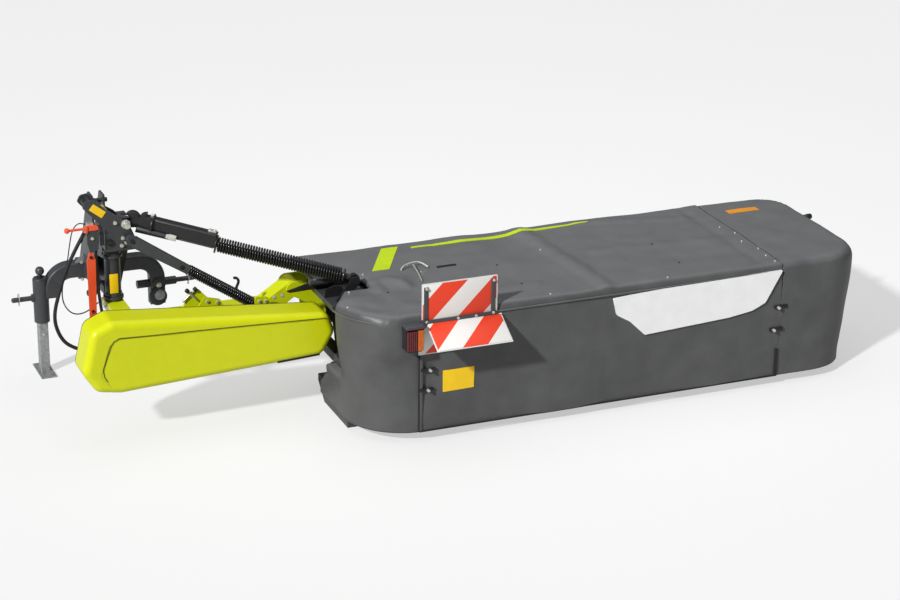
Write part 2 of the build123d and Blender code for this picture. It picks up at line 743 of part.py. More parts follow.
# Mower hinge bracket: two ears, the hinge pin and the tongue of the relief strut
bracket_low = 280
beam_left = 1335
bracket_right = 1400
with BuildPart() as unit_bracket:
    for ear in (rear_cheek, front_cheek):
        with BuildSketch(across(ear + CHEEK_T)):
            with Locations((UNIT_HINGE_X, UNIT_HINGE_Z)):
                Circle(UNIT_HINGE_R)
            with BuildLine():
                Polyline(
                    (UNIT_HINGE_X, UNIT_HINGE_Z + UNIT_HINGE_R),
                    (bracket_right, UNIT_HINGE_Z + UNIT_HINGE_R),
                    (bracket_right, bracket_low),
                    (beam_left, bracket_low),
                    (beam_left - 45, UNIT_HINGE_Z - UNIT_HINGE_R - 40),
                    (UNIT_HINGE_X, UNIT_HINGE_Z - UNIT_HINGE_R),
                    close=True,
                )
            make_face()
        extrude(amount=CHEEK_T)
    with BuildSketch(across(front_cheek + CHEEK_T)):
        with Locations((UNIT_HINGE_X, UNIT_HINGE_Z)):
            Circle(HINGE_PIN_DIA / 2)
    extrude(amount=front_cheek + CHEEK_T - rear_cheek)
    with BuildSketch(Plane.XY.offset(bracket_low)):
        with Locations((bracket_right - 8, (front_cheek + rear_cheek + CHEEK_T) / 2)):
            Rectangle(16, front_cheek - rear_cheek - CHEEK_T)
    extrude(amount=UNIT_HINGE_Z + UNIT_HINGE_R - bracket_low)
save(unit_bracket, "unit_bracket")

# Beams from the hinge ears back over the inner shoe
beam_rear = DISC_Y - 60
beam_top = UNIT_HINGE_Z + UNIT_HINGE_R
with BuildPart() as bracket_beams:
    for low, left, height in ((beam_top - 30, bracket_right - 108, 30), (bracket_low, beam_left, 50)):
        with BuildSketch(Plane.XY.offset(low)):
            with Locations(((left + bracket_right) / 2, (rear_cheek + beam_rear) / 2)):
                Rectangle(bracket_right - left, rear_cheek - beam_rear)
        extrude(amount=height)
save(bracket_beams, "bracket_beams")

# Three plates on the upper beam: tongue of the relief strut and two guard plates
with BuildPart() as tongue_plates:
    with BuildSketch(across(TONGUE_Y + TONGUE_T)):
        with BuildLine():
            Polyline(
                (beam_left - 5, beam_top),
                (bracket_right, beam_top),
                (UPPER_EYE[0] + 22, UPPER_EYE[2] - 10),
                (UPPER_EYE[0] + 16, UPPER_EYE[2] + 20),
                (UPPER_EYE[0] - 22, UPPER_EYE[2] + 16),
                close=True,
            )
        make_face()
    extrude(amount=TONGUE_T)
    with BuildSketch(across(DISC_Y + 225)):
        with BuildLine():
            Polyline(
                (bracket_right - 4, beam_top),
                (bracket_right - 4, beam_top + 36),
                (UNIT_HINGE_X + 11, beam_top + 32),
                (UNIT_HINGE_X - 92, beam_top + 6),
                (UNIT_HINGE_X - 72, beam_top - 4),
                (bracket_right - 108, beam_top),
                close=True,
            )
        make_face()
    extrude(amount=10)
    with BuildSketch(across(DISC_Y + 80)):
        with BuildLine():
            Polyline(
                (bracket_right - 4, beam_top),
                (bracket_right - 8, beam_top + 56),
                (bracket_right - 50, beam_top + 62),
                (bracket_right - 100, beam_top + 46),
                (bracket_right - 108, beam_top),
                close=True,
            )
        make_face()
    extrude(amount=10)
save(tongue_plates, "tongue_plates")

# Cutterbar housing
bar_left = DISC_X0 - BLADE_R - 22
bar_right = DISC_X0 + (DISC_COUNT - 1) * DISC_PITCH + BLADE_R + 12
bar_rear = DISC_Y - 150
bar_front = bar_rear + BAR_DEPTH
with BuildPart() as cutterbar:
    with BuildSketch(along(bar_left)):
        with BuildLine():
            Polyline(
                (bar_rear, BAR_LOW + 20),
                (bar_rear + 30, BAR_LOW),
                (bar_front - 40, BAR_LOW),
                (bar_front, BAR_LOW + 22),
                (bar_front - 10, BAR_LOW + 50),
                (bar_front - 50, BAR_TOP),
                (bar_rear + 20, BAR_TOP),
                (bar_rear, BAR_TOP - 20),
                close=True,
            )
        make_face()
    extrude(amount=bar_right - bar_left)
save(cutterbar, "cutterbar")

# Skids under the bar, one below each disc
with BuildPart() as skids:
    for index in range(DISC_COUNT):
        with BuildSketch(along(DISC_X0 + index * DISC_PITCH - SKID_WIDTH / 2)):
            with BuildLine():
                Polyline(
                    (bar_rear - 20, BAR_LOW),
                    (bar_rear + 10, 0),
                    (bar_front - 30, 0),
                    (bar_front + 30, BAR_LOW + 22),
                    (bar_front + 24, BAR_LOW + 30),
                    (bar_front - 40, BAR_LOW),
                    close=True,
                )
            make_face()
        extrude(amount=SKID_WIDTH)
save(skids, "skids")

# Inner shoe, the gearbox that the belt drives and the small pulley's shaft
with BuildPart() as inner_shoe:
    with BuildSketch(along(bar_left - SHOE_T)):
        with BuildLine():
            Polyline(
                (bar_rear - 60, 0),
                (bar_front + 60, 0),
                (bar_front + 160, 90),
                (bar_front + 160, SHOE_TOP),
                (bar_rear - 60, SHOE_TOP),
                close=True,
            )
        make_face()
    extrude(amount=SHOE_T)
    with BuildSketch(Plane.XY.offset(SHOE_TOP)):
        with Locations((bar_left - SHOE_T / 2, DISC_Y - 25)):
            Rectangle(SHOE_T, 150)
    extrude(amount=bracket_low - SHOE_TOP)
save(inner_shoe, "inner_shoe")

# Outer shoe
with BuildPart() as outer_shoe:
    with BuildSketch(along(bar_right)):
        with BuildLine():
            Polyline(
                (bar_rear - 60, 0),
                (bar_front + 60, 0),
                (bar_front + 160, 90),
                (bar_front + 160, SHOE_TOP),
                (bar_rear - 60, SHOE_TOP),
                close=True,
            )
        make_face()
    extrude(amount=SHOE_T)
save(outer_shoe, "outer_shoe")

# Discs with two blades each; neighbours stand a quarter turn apart
for index in range(DISC_COUNT):
    centre = DISC_X0 + index * DISC_PITCH
    turn = 90 * (index % 2)
    with BuildPart() as disc:
        with BuildSketch(Plane.XY.offset(DISC_Z)):
            with Locations(Location((centre, DISC_Y), turn)):
                Ellipse(DISC_R, DISC_R - 18)
        extrude(amount=30, taper=30)
        for flip in (0, 180):
            reach = Location((centre, DISC_Y), turn + flip)
            with BuildSketch(Plane.XY.offset(DISC_Z - BLADE_DROP - BLADE_T)):
                with Locations(reach * Location((BLADE_R - 60, 0))):
                    Rectangle(120, 44)
            extrude(amount=BLADE_T)
            with BuildSketch(Plane.XY.offset(DISC_Z - BLADE_DROP)):
                with Locations(reach * Location((BLADE_R - 100, 0))):
                    Circle(12)
            extrude(amount=BLADE_DROP)
        with BuildSketch(Plane.XY.offset(BAR_TOP + 1)):
            with Locations((centre, DISC_Y)):
                Circle(50)
        extrude(amount=DISC_Z - BAR_TOP - 1)
    save(disc, "disc_" + str(index + 1))

# Cover frame: the main tube along the bar
main_y = FLAP_HINGE_Y - FLAP_TUBE_DIA / 2 - 14 - MAIN_TUBE / 2
main_low = ROOF_Z - ROOF_T - 32 - MAIN_TUBE
main_left = bracket_right
main_right = bar_right + SHOE_T
end_hinge_x = SEAM_RIGHT_X - 6
with BuildPart() as main_tube:
    with BuildSketch(along(main_left)):
        with Locations((main_y, main_low + MAIN_TUBE / 2)):
            RectangleRounded(MAIN_TUBE, MAIN_TUBE, 8)
    extrude(amount=main_right - main_left)
save(main_tube, "main_tube")

# Bows under the fixed roof
bow_low = main_low + MAIN_TUBE
with BuildPart() as roof_bows:
    for bow in (SEAM_LEFT_X + 20, (SEAM_LEFT_X + SEAM_RIGHT_X) / 2, SEAM_RIGHT_X - 60):
        with BuildSketch(across(main_y + MAIN_TUBE / 2)):
            with Locations((bow, (bow_low + ROOF_Z - ROOF_T) / 2)):
                Rectangle(40, ROOF_Z - ROOF_T - bow_low)
        extrude(amount=main_y + MAIN_TUBE / 2 - COVER_REAR_Y - 20)
save(roof_bows, "roof_bows")

# Posts that carry the main tube on the two shoes
with BuildPart() as frame_posts:
    for post in (main_left + 17, main_right - 20):
        with BuildSketch(Plane.XY.offset(SHOE_TOP)):
            with Locations((post, main_y)):
                Rectangle(32, 60)
        extrude(amount=main_low - SHOE_TOP)
save(frame_posts, "frame_posts")

# Fixed roof over the rear of the bar, its rim turned down
roof_front = FLAP_HINGE_Y - FLAP_TUBE_DIA / 2 - 14
roof_right = end_hinge_x - 6


def cover_plan(left, right, front, rear, left_radius, right_radius, front_radius):
    """Plan of a cover as one closed line: corner radii of zero stay square."""
    points = [(left, front), (left, rear), (right, rear), (right, front)]
    radii = [0.01, left_radius, right_radius, front_radius]
    FilletPolyline(*points, radius=radii, close=True)


with BuildPart() as roof:
    with BuildSketch(Plane.XY.offset(RIM_Z)) as roof_plan:
        with BuildLine():
            cover_plan(COVER_LEFT_X, roof_right, roof_front, COVER_REAR_Y, CORNER_LEFT_R, 0.01, 0.01)
        make_face()
    extrude(amount=ROOF_Z - RIM_Z)
    roof_top = roof.faces().sort_by(Axis.Z)[-1].edges()
    fillet(roof_top.filter_by(lambda edge: edge.center().X < roof_right - 1 and edge.center().Y < roof_front - 1), COVER_EDGE_R)
    with BuildSketch(Plane.XY.offset(RIM_Z)) as roof_hollow:
        with BuildLine():
            cover_plan(
                COVER_LEFT_X + ROOF_T,
                roof_right + 20,
                roof_front + 20,
                COVER_REAR_Y + ROOF_T,
                CORNER_LEFT_R - ROOF_T,
                0.01,
                0.01,
            )
        make_face()
    extrude(amount=ROOF_Z - ROOF_T - RIM_Z, mode=Mode.SUBTRACT)
    with BuildSketch(Plane.XY.offset(RIM_Z)):
        with BuildLine():
            Polyline(
                (COVER_LEFT_X - 20, NOTCH_Y - 32),
                (COVER_LEFT_X + 22, NOTCH_Y),
                (NOTCH_X, -1040),
                (NOTCH_X, roof_front + 20),
                (COVER_LEFT_X - 20, roof_front + 20),
                close=True,
            )
        make_face()
        with Locations((UPPER_EYE[0] + 10, UPPER_EYE[1])):
            Rectangle(EYE_SLOT, EYE_SLOT)
    extrude(amount=ROOF_Z - RIM_Z, mode=Mode.SUBTRACT)
save(roof, "roof")

# Rear curtain between the two seams
with BuildPart() as rear_curtain:
    with BuildSketch(across(COVER_REAR_Y + CURTAIN_T)):
        with Locations(((SEAM_LEFT_X + roof_right + SEAM_GAP) / 2, (RIM_Z + HEM_Z) / 2)):
            Rectangle(roof_right - SEAM_LEFT_X - SEAM_GAP, RIM_Z - HEM_Z)
    extrude(amount=CURTAIN_T)
save(rear_curtain, "rear_curtain")



def hem_inset(height):
    """How far a curtain leans in at a given height, none at the rim and all at the hem."""
    return HEM_TAPER * (RIM_Z - height) / (RIM_Z - HEM_Z)


# Corner curtain round the inner end, leaning in and longer forward along its lower part
with BuildPart() as corner_curtain:
    for top, front in ((RIM_Z, -1300), (SIDE_LOW_TOP, -1090)):
        for height in (top, HEM_Z):
            left = COVER_LEFT_X + CURTAIN_T / 2 + hem_inset(height)
            with BuildSketch(Plane.XY.offset(height)):
                with BuildLine():
                    FilletPolyline(
                        (left, front),
                        (left, COVER_REAR_Y + CURTAIN_T / 2),
                        (SEAM_LEFT_X, COVER_REAR_Y + CURTAIN_T / 2),
                        radius=CORNER_LEFT_R - HEM_TAPER - CURTAIN_T / 2,
                    )
                trace(line_width=CURTAIN_T)
        loft()
save(corner_curtain, "corner_curtain")

# Hinge tube of the front flap
with BuildPart() as flap_tube:
    with BuildSketch(along(COVER_LEFT_X + 6)):
        with Locations((FLAP_HINGE_Y, FLAP_HINGE_Z)):
            Circle(FLAP_TUBE_DIA / 2)
    extrude(amount=roof_right - COVER_LEFT_X - 12)
save(flap_tube, "flap_tube")

# Bows under the front flap
flap_span = roof_right - COVER_LEFT_X - 100
with BuildPart() as flap_bows:
    for bow in [COVER_LEFT_X + 40 + flap_span * step / 3 for step in range(4)]:
        with BuildSketch(across(COVER_FRONT_Y - 20)):
            with Locations((bow, ROOF_Z - ROOF_T - 12)):
                Rectangle(30, 24)
        extrude(amount=COVER_FRONT_Y - 20 - FLAP_HINGE_Y - FLAP_TUBE_DIA / 2)
save(flap_bows, "flap_bows")

# Front flap cover: top sheet, rim and curtain
flap_rear = FLAP_HINGE_Y + 26
with BuildPart() as front_cover:
    with BuildSketch(along(COVER_LEFT_X)):
        with BuildLine():
            Polyline(
                (flap_rear, ROOF_Z - ROOF_T),
                (flap_rear, ROOF_Z),
                (COVER_FRONT_Y, ROOF_Z),
                (COVER_FRONT_Y, HEM_Z),
                (COVER_FRONT_Y - CURTAIN_T, HEM_Z),
                (COVER_FRONT_Y - CURTAIN_T, ROOF_Z - ROOF_T),
                close=True,
            )
        make_face()
    extrude(amount=roof_right - COVER_LEFT_X)
    nose = front_cover.edges().filter_by(Axis.X).sort_by(Axis.Y)[-2:].sort_by(Axis.Z)[-1]
    fillet(nose, COVER_EDGE_R)
save(front_cover, "front_cover")

# End flap frame: the black-ended stay tube and its hinge straps
end_left = end_hinge_x + 6
with BuildPart() as end_flap_frame:
    with BuildSketch(along(end_left + 20)):
        with Locations((FLAP_HINGE_Y, ROOF_Z - ROOF_T - STAY_DIA / 2)):
            Circle(STAY_DIA / 2)
    extrude(amount=COVER_RIGHT_X + 28 - end_left - 20)
save(end_flap_frame, "end_flap_frame")

# End flap cover, wrapped round the outer end and leaning in towards its hem
with BuildPart() as end_cover:
    with BuildSketch(Plane.XY.offset(RIM_Z)):
        with BuildLine():
            cover_plan(
                end_left,
                COVER_RIGHT_X,
                COVER_FRONT_Y,
                COVER_REAR_Y,
                0.01,
                CORNER_RIGHT_R,
                CORNER_FRONT_R,
            )
        make_face()
    extrude(amount=ROOF_Z - RIM_Z)
    end_top = end_cover.faces().sort_by(Axis.Z)[-1].edges()
    fillet(end_top.filter_by(lambda edge: edge.center().X > end_left + 1), COVER_EDGE_R)
    for height in (RIM_Z, HEM_Z):
        with BuildSketch(Plane.XY.offset(height)):
            with BuildLine():
                cover_plan(
                    end_left,
                    COVER_RIGHT_X - hem_inset(height),
                    COVER_FRONT_Y,
                    COVER_REAR_Y,
                    0.01,
                    CORNER_RIGHT_R,
                    CORNER_FRONT_R,
                )
            make_face()
    loft()
    with BuildSketch(Plane.XY.offset(RIM_Z)):
        with BuildLine():
            cover_plan(
                end_left - 20,
                COVER_RIGHT_X - CURTAIN_T,
                COVER_FRONT_Y - CURTAIN_T,
                COVER_REAR_Y + CURTAIN_T,
                0.01,
                CORNER_RIGHT_R - CURTAIN_T,
                CORNER_FRONT_R - CURTAIN_T,
            )
        make_face()
    extrude(amount=ROOF_Z - ROOF_T - RIM_Z, mode=Mode.SUBTRACT)
    for height in (RIM_Z, HEM_Z):
        with BuildSketch(Plane.XY.offset(height)):
            with BuildLine():
                cover_plan(
                    end_left - 20,
                    COVER_RIGHT_X - CURTAIN_T - hem_inset(height),
                    COVER_FRONT_Y - CURTAIN_T,
                    COVER_REAR_Y + CURTAIN_T,
                    0.01,
                    CORNER_RIGHT_R - CURTAIN_T,
                    CORNER_FRONT_R - CURTAIN_T,
                )
            make_face()
    loft(mode=Mode.SUBTRACT)
    with BuildSketch(along(COVER_RIGHT_X - 40)):
        with Locations((FLAP_HINGE_Y, ROOF_Z - ROOF_T - STAY_DIA / 2)):
            Circle(STAY_DIA / 2 + RUN_CLEARANCE)
    extrude(amount=60, mode=Mode.SUBTRACT)
save(end_cover, "end_cover")

# Hinge leaves of the end flap on the roof's outer edge
end_hinge_z = ROOF_Z + 4
with BuildPart() as end_hinge:
    for leaf in (-1520, -1260, -1000):
        with BuildSketch(Plane.XY.offset(ROOF_Z)):
            with Locations((end_hinge_x - 23, leaf)):
                Rectangle(34, 60)
        extrude(amount=2)
        with BuildSketch(across(leaf + 30)):
            with Locations((end_hinge_x, end_hinge_z)):
                Circle(4)
        extrude(amount=60)
        with BuildSketch(Plane.XY.offset(ROOF_Z)):
            with Locations((end_hinge_x - 6, leaf)):
                Rectangle(8, 60)
        extrude(amount=4)
save(end_hinge, "end_hinge")

# Warning board above the roof's rear edge, on its two straps
board_x = BOARD_LEFT_X + BOARD_WIDTH / 2
board_y = COVER_REAR_Y - 6
with BuildPart() as warning_board:
    with BuildSketch(across(board_y)):
        with Locations((board_x, (BOARD_LOW_Z + BOARD_HIGH_Z) / 2)):
            RectangleRounded(BOARD_WIDTH, BOARD_HIGH_Z - BOARD_LOW_Z, 8)
    extrude(amount=BOARD_T)
save(warning_board, "warning_board")

# Straps that carry the board on the curtain
with BuildPart() as board_straps:
    for strap in (BOARD_LEFT_X + 22, BOARD_LEFT_X + BOARD_WIDTH - 22):
        with BuildSketch(across(COVER_REAR_Y)):
            with Locations((strap, (BOARD_HIGH_Z + 530) / 2)):
                Rectangle(30, BOARD_HIGH_Z - 530 - 10)
        extrude(amount=6)
save(board_straps, "board_straps")

# Lower flap of the board, hinged under it and tilted out over the lamp
flap_tip = Vector(0, -sin(radians(BOARD_FLAP_TILT)), -cos(radians(BOARD_FLAP_TILT)))
flap_origin = Vector(board_x + 22, board_y - BOARD_T - 5, BOARD_LOW_Z - 4)
flap_plane = Plane(origin=flap_origin, x_dir=(1, 0, 0), z_dir=flap_tip)
with BuildPart() as board_flap:
    with BuildSketch(flap_plane):
        Rectangle(BOARD_WIDTH, BOARD_T)
    extrude(amount=BOARD_FLAP_LENGTH)
    with BuildSketch(along(BOARD_LEFT_X + 22)):
        with Locations((flap_origin.Y, flap_origin.Z)):
            Circle(5)
    extrude(amount=BOARD_WIDTH)
save(board_flap, "board_flap")

# Tail lamp at the corner, beside the board
with BuildPart() as tail_lamp:
    with BuildSketch(across(COVER_REAR_Y)) as lamp_face:
        with Locations((LAMP_LEFT_X + LAMP_WIDTH / 2, LAMP_LOW_Z + LAMP_HEIGHT / 2)):
            RectangleRounded(LAMP_WIDTH, LAMP_HEIGHT, 16)
    extrude(amount=64)
save(tail_lamp, "tail_lamp")

# Hose blocks: one behind the lock plate, one on a bar below, each with its fitting
hose_start = Vector(HOSE_POINTS[1][0] - HOSE_POINTS[0][0], 0, HOSE_POINTS[1][1] - HOSE_POINTS[0][1])
hose_finish = Vector(HOSE_POINTS[-2][0] - HOSE_POINTS[-1][0], 0, HOSE_POINTS[-2][1] - HOSE_POINTS[-1][1])
bar_front_y = lever_y + 10
with BuildPart() as hose_blocks:
    with BuildSketch(along(HOSE_POINTS[0][0] + 14)):
        with Locations((HOSE_Y, HOSE_POINTS[0][1] + 30)):
            Rectangle(36, 44)
    extrude(amount=32)
    with BuildSketch(along(124)):
        with Locations((HOSE_Y, 328)):
            Rectangle(2 * (HOSE_Y - bar_front_y), 40)
    extrude(amount=38)
    with BuildSketch(across(bar_front_y + 8)):
        with Locations((141, 435)):
            Rectangle(40, 250)
    extrude(amount=8)
    for point, way in ((HOSE_POINTS[0], hose_start), (HOSE_POINTS[-1], hose_finish)):
        with BuildSketch(Plane(origin=(point[0], HOSE_Y, point[1]), z_dir=way.normalized())):
            Circle(HOSE_DIA / 2 + 3)
        extrude(amount=-36)
save(hose_blocks, "hose_blocks")

# Return hose, a free cord of straight runs joined by tangent arcs
hose_radii = []
for before, corner, after in zip(HOSE_POINTS, HOSE_POINTS[1:], HOSE_POINTS[2:]):
    run_in = Vector(corner[0] - before[0], corner[1] - before[1])
    run_out = Vector(after[0] - corner[0], after[1] - corner[1])
    half_turn = radians(run_in.get_angle(run_out)) / 2
    hose_radii.append(0.45 * min(run_in.length, run_out.length) / tan(half_turn))
print("hose radii", [round(radius) for radius in hose_radii])
with BuildPart() as return_hose:
    with BuildLine(Plane.XZ.offset(-HOSE_Y)) as hose_route:
        FilletPolyline(*HOSE_POINTS, radius=hose_radii)
    with BuildSketch(Plane(origin=(HOSE_POINTS[0][0], HOSE_Y, HOSE_POINTS[0][1]), z_dir=hose_start)):
        Circle(HOSE_DIA / 2)
    sweep(path=hose_route.wires()[0])
save(return_hose, "return_hose")
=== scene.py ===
import bpy
import bmesh
import math
from mathutils import Matrix, Vector


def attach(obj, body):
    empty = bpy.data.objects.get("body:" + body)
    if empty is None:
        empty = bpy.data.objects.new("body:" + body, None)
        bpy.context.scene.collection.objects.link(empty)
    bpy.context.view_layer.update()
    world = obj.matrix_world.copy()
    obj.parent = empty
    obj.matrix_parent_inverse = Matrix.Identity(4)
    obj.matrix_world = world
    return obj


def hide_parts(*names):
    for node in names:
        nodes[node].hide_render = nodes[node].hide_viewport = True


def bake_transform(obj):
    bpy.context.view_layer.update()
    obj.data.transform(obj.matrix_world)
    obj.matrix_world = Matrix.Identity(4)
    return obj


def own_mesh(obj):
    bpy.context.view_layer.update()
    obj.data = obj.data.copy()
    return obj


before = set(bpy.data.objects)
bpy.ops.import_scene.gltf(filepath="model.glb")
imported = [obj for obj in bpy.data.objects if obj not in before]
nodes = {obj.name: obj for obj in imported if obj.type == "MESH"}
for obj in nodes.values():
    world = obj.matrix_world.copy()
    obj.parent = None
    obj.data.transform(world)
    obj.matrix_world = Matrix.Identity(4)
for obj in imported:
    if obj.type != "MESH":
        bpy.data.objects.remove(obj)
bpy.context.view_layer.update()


def add_node(tree, kind, operation="", **values):
    """A shader node with its sockets' values; an underscore stands for a space in their names."""
    made = tree.nodes.new("ShaderNode" + kind)
    if kind == "Mix":
        made.data_type = "RGBA"
    if operation:
        made.operation = operation
    for socket, value in values.items():
        made.inputs[socket.replace("_", " ")].default_value = value
    return made


def finish_material(
    name, colour, rough, slot="", metal=0.0, spread=0.06, grain=18.0, bump=0.0, coat=0.0, pale_on_top=0.0
):
    """A finish with blotches of shade and gloss; the slot argument is not used."""
    material = bpy.data.materials.new(name)
    material.use_nodes = True
    tree = material.node_tree
    link = tree.links.new
    shader = tree.nodes["Principled BSDF"]
    shader.inputs["Metallic"].default_value = metal
    shader.inputs["Coat Weight"].default_value = coat
    shader.inputs["Specular IOR Level"].default_value = 0.35
    place = add_node(tree, "TexCoord")
    blotch = add_node(tree, "TexNoise", Scale=grain, Detail=6.0)
    link(place.outputs["Object"], blotch.inputs["Vector"])
    ramp = add_node(tree, "ValToRGB")
    for stop, position, shade in zip(ramp.color_ramp.elements, (0.3, 0.7), (1.0 - spread, 1.0 + spread)):
        stop.position = position
        stop.color = (*[min(1.0, c * shade) for c in colour], 1.0)
    link(blotch.outputs["Fac"], ramp.inputs["Fac"])
    colour_out = ramp.outputs["Color"]
    # Faces turned upward are mixed toward a pale grey, more the more they face up, so tops come out lighter
    # than sides.
    if pale_on_top > 0.0:
        normal = add_node(tree, "NewGeometry")
        split = add_node(tree, "SeparateXYZ")
        link(normal.outputs["Normal"], split.inputs["Vector"])
        up = add_node(tree, "MapRange", From_Min=0.5, From_Max=1.0, To_Min=0.0, To_Max=pale_on_top)
        link(split.outputs["Z"], up.inputs["Value"])
        mix = add_node(tree, "Mix", B=(0.45, 0.47, 0.50, 1.0))
        link(up.outputs["Result"], mix.inputs["Factor"])
        link(colour_out, mix.inputs["A"])
        colour_out = mix.outputs["Result"]
    link(colour_out, shader.inputs["Base Color"])
    gloss = add_node(tree, "MapRange", To_Min=rough * 0.85, To_Max=min(1.0, rough * 1.15))
    link(blotch.outputs["Fac"], gloss.inputs["Value"])
    link(gloss.outputs["Result"], shader.inputs["Roughness"])
    if bump > 0.0:
        fine = add_node(tree, "TexNoise", Scale=grain * 12.0)
        link(place.outputs["Object"], fine.inputs["Vector"])
        raised = add_node(tree, "Bump", Strength=bump, Distance=0.002)
        link(fine.outputs["Fac"], raised.inputs["Height"])
        link(raised.outputs["Normal"], shader.inputs["Normal"])
    return material


def dress(material, *names):
    for name in names:
        mesh = nodes[name].data
        mesh.materials.clear()
        mesh.materials.append(material)


def enter(mode):
    bpy.ops.object.mode_set(mode=mode)


def set_place():
    """Move the place, turn and size of the selected pieces into their meshes."""
    bpy.ops.object.transform_apply(location=True, rotation=True, scale=True)


def pick(piece, kind, test):
    """In edit mode, select only the verts, edges or faces whose middle passes the test."""
    bpy.ops.mesh.select_all(action="DESELECT")
    bpy.ops.mesh.select_mode(type=kind)
    shape = bmesh.from_edit_mesh(piece.data)
    if kind == "VERT":
        for vert in shape.verts:
            vert.select = test(vert.co)
    elif kind == "EDGE":
        for edge in shape.edges:
            edge.select = test(edge.verts[0].co, edge.verts[1].co)
    else:
        for face in shape.faces:
            face.select = test(face.calc_center_median(), face.normal)
    shape.select_flush_mode()
    bmesh.update_edit_mesh(piece.data)


def bevel_edges(piece, test, width, segments):
    pick(piece, "EDGE", test)
    bpy.ops.mesh.bevel(offset=width, segments=segments)


def cut_away(piece, test):
    pick(piece, "FACE", test)
    bpy.ops.mesh.delete(type="FACE")


def trim(place, way, **sides):
    """Cut the whole piece in edit mode with a plane, and clear what lies on one side of it."""
    bpy.ops.mesh.select_all(action="SELECT")
    bpy.ops.mesh.bisect(plane_co=place, plane_no=way, **sides)


def solid_box(name, low, high):
    """A cube stretched between two corners, its place and size in its mesh."""
    bpy.ops.object.select_all(action="DESELECT")
    middle = (Vector(low) + Vector(high)) / 2
    bpy.ops.mesh.primitive_cube_add(size=1.0, location=middle)
    piece = bpy.context.object
    piece.name = name
    piece.scale = Vector(high) - Vector(low)
    set_place()
    return piece


def take(piece):
    """Select one piece alone and make it the active one."""
    bpy.ops.object.select_all(action="DESELECT")
    piece.select_set(True)
    bpy.context.view_layer.objects.active = piece


def use_modifier(piece, kind, **values):
    modifier = piece.modifiers.new(kind.lower(), kind)
    for key, value in values.items():
        setattr(modifier, key, value)
    take(piece)
    bpy.ops.object.modifier_apply(modifier=modifier.name)


def pull(piece, test, move, reach):
    """Drag the picked points of a cloth, its neighbours following as far as the reach."""
    bpy.context.view_layer.objects.active = piece
    enter("EDIT")
    pick(piece, "VERT", test)
    bpy.ops.transform.translate(
        value=move,
        use_proportional_edit=True,
        proportional_edit_falloff="SMOOTH",
        proportional_size=reach,
    )
    enter("OBJECT")


def dent(piece, place, size, move, reach):
    pull(piece, lambda co: (co - Vector(place)).length < size, move, reach)


cover_cloth = finish_material(
    "cover_cloth", (0.084, 0.085, 0.0855), 0.42, "cover_grey", spread=0.11, grain=8.0, bump=0.35, pale_on_top=0.14
)
dress(cover_cloth, "roof", "rear_curtain", "corner_curtain", "front_cover", "end_cover")
roof_z = 0.718
hem_z = 0.06
left_x = 1.24
seam_x = 3.746
rear_y = -1.64
front_y = -0.58
corner_radius = 0.33
roof_edge = 0.024
roof_swell = 0.007
hem_lean = 0.058
hem_reach = 0.60
spare_low = 0.06
spare_side = 0.08
cloth_thick = 0.004

main_cloth = solid_box(
    "main_cloth", (left_x, rear_y, hem_z - spare_low), (seam_x + spare_side, front_y, roof_z)
)
enter("EDIT")
pick(main_cloth, "EDGE", lambda a, b: max(a.x, b.x) < left_x + 0.01 and max(a.y, b.y) < rear_y + 0.04)
bpy.ops.mesh.bevel(offset=corner_radius, segments=12)
bevel_edges(main_cloth, lambda a, b: min(a.z, b.z) > 0.7 and min(a.x, b.x) < 3.8, roof_edge, 4)
enter("OBJECT")

notch_x = 1.262
notch_rear = -1.33
notch_front = -0.965
notch_run = 0.21
notch = solid_box("notch", (1.10, notch_rear, 0.285), (notch_x, notch_front, 1.0))
enter("EDIT")
pick(notch, "VERT", lambda co: co.x > 1.2 and co.y > -1.0)
bpy.ops.transform.translate(value=(notch_run, 0.0, 0.0))
enter("OBJECT")
slot_cut = solid_box("slot_cut", (1.37, -1.172, 0.5), (1.508, -1.025, 1.0))
for cutter in (notch, slot_cut):
    use_modifier(main_cloth, "BOOLEAN", operation="DIFFERENCE", object=cutter, solver="EXACT")
    bpy.data.objects.remove(cutter)
use_modifier(main_cloth, "REMESH", mode="VOXEL", voxel_size=0.0155)
use_modifier(main_cloth, "SMOOTH", factor=0.5, iterations=8)


def in_notch(co):
    if co.z < 0.30:
        return co.x < 1.47 and (co.y > -0.955 or co.y > -1.09 and co.z > 0.235)
    edge = notch_x + (co.y - notch_rear) / (notch_front - notch_rear) * notch_run
    return notch_rear - 0.015 < co.y < notch_front + 0.01 and co.x < edge + 0.012


def in_slot(co):
    return 1.36 < co.x < 1.518 and -1.182 < co.y < -1.015


def on_strip(co):
    """The narrow strip of the left side in front of the notch, below the tongue."""
    return co.x < left_x + 0.03 and (co.y > -0.955 or co.y > -0.97 and co.z > 0.235)


def on_slope(co):
    """What stands above a sloping line on the front end of the left side."""
    return co.x < 1.35 and co.y > -1.095 and 0.235 - (co.y + 1.095) * 0.8 < co.z < 0.66


enter("EDIT")
trim((seam_x, 0.0, 0.0), (1.0, 0.0, 0.0), clear_outer=True)
trim((0.0, 0.0, hem_z), (0.0, 0.0, 1.0), clear_inner=True)
cut_away(main_cloth, lambda co, normal: in_notch(co) and normal.z < 0.6)
cut_away(main_cloth, lambda co, normal: (in_notch(co) or in_slot(co)) and co.z < 0.7)
cut_away(main_cloth, lambda co, normal: on_strip(co))
cut_away(main_cloth, lambda co, normal: on_slope(co))
enter("OBJECT")

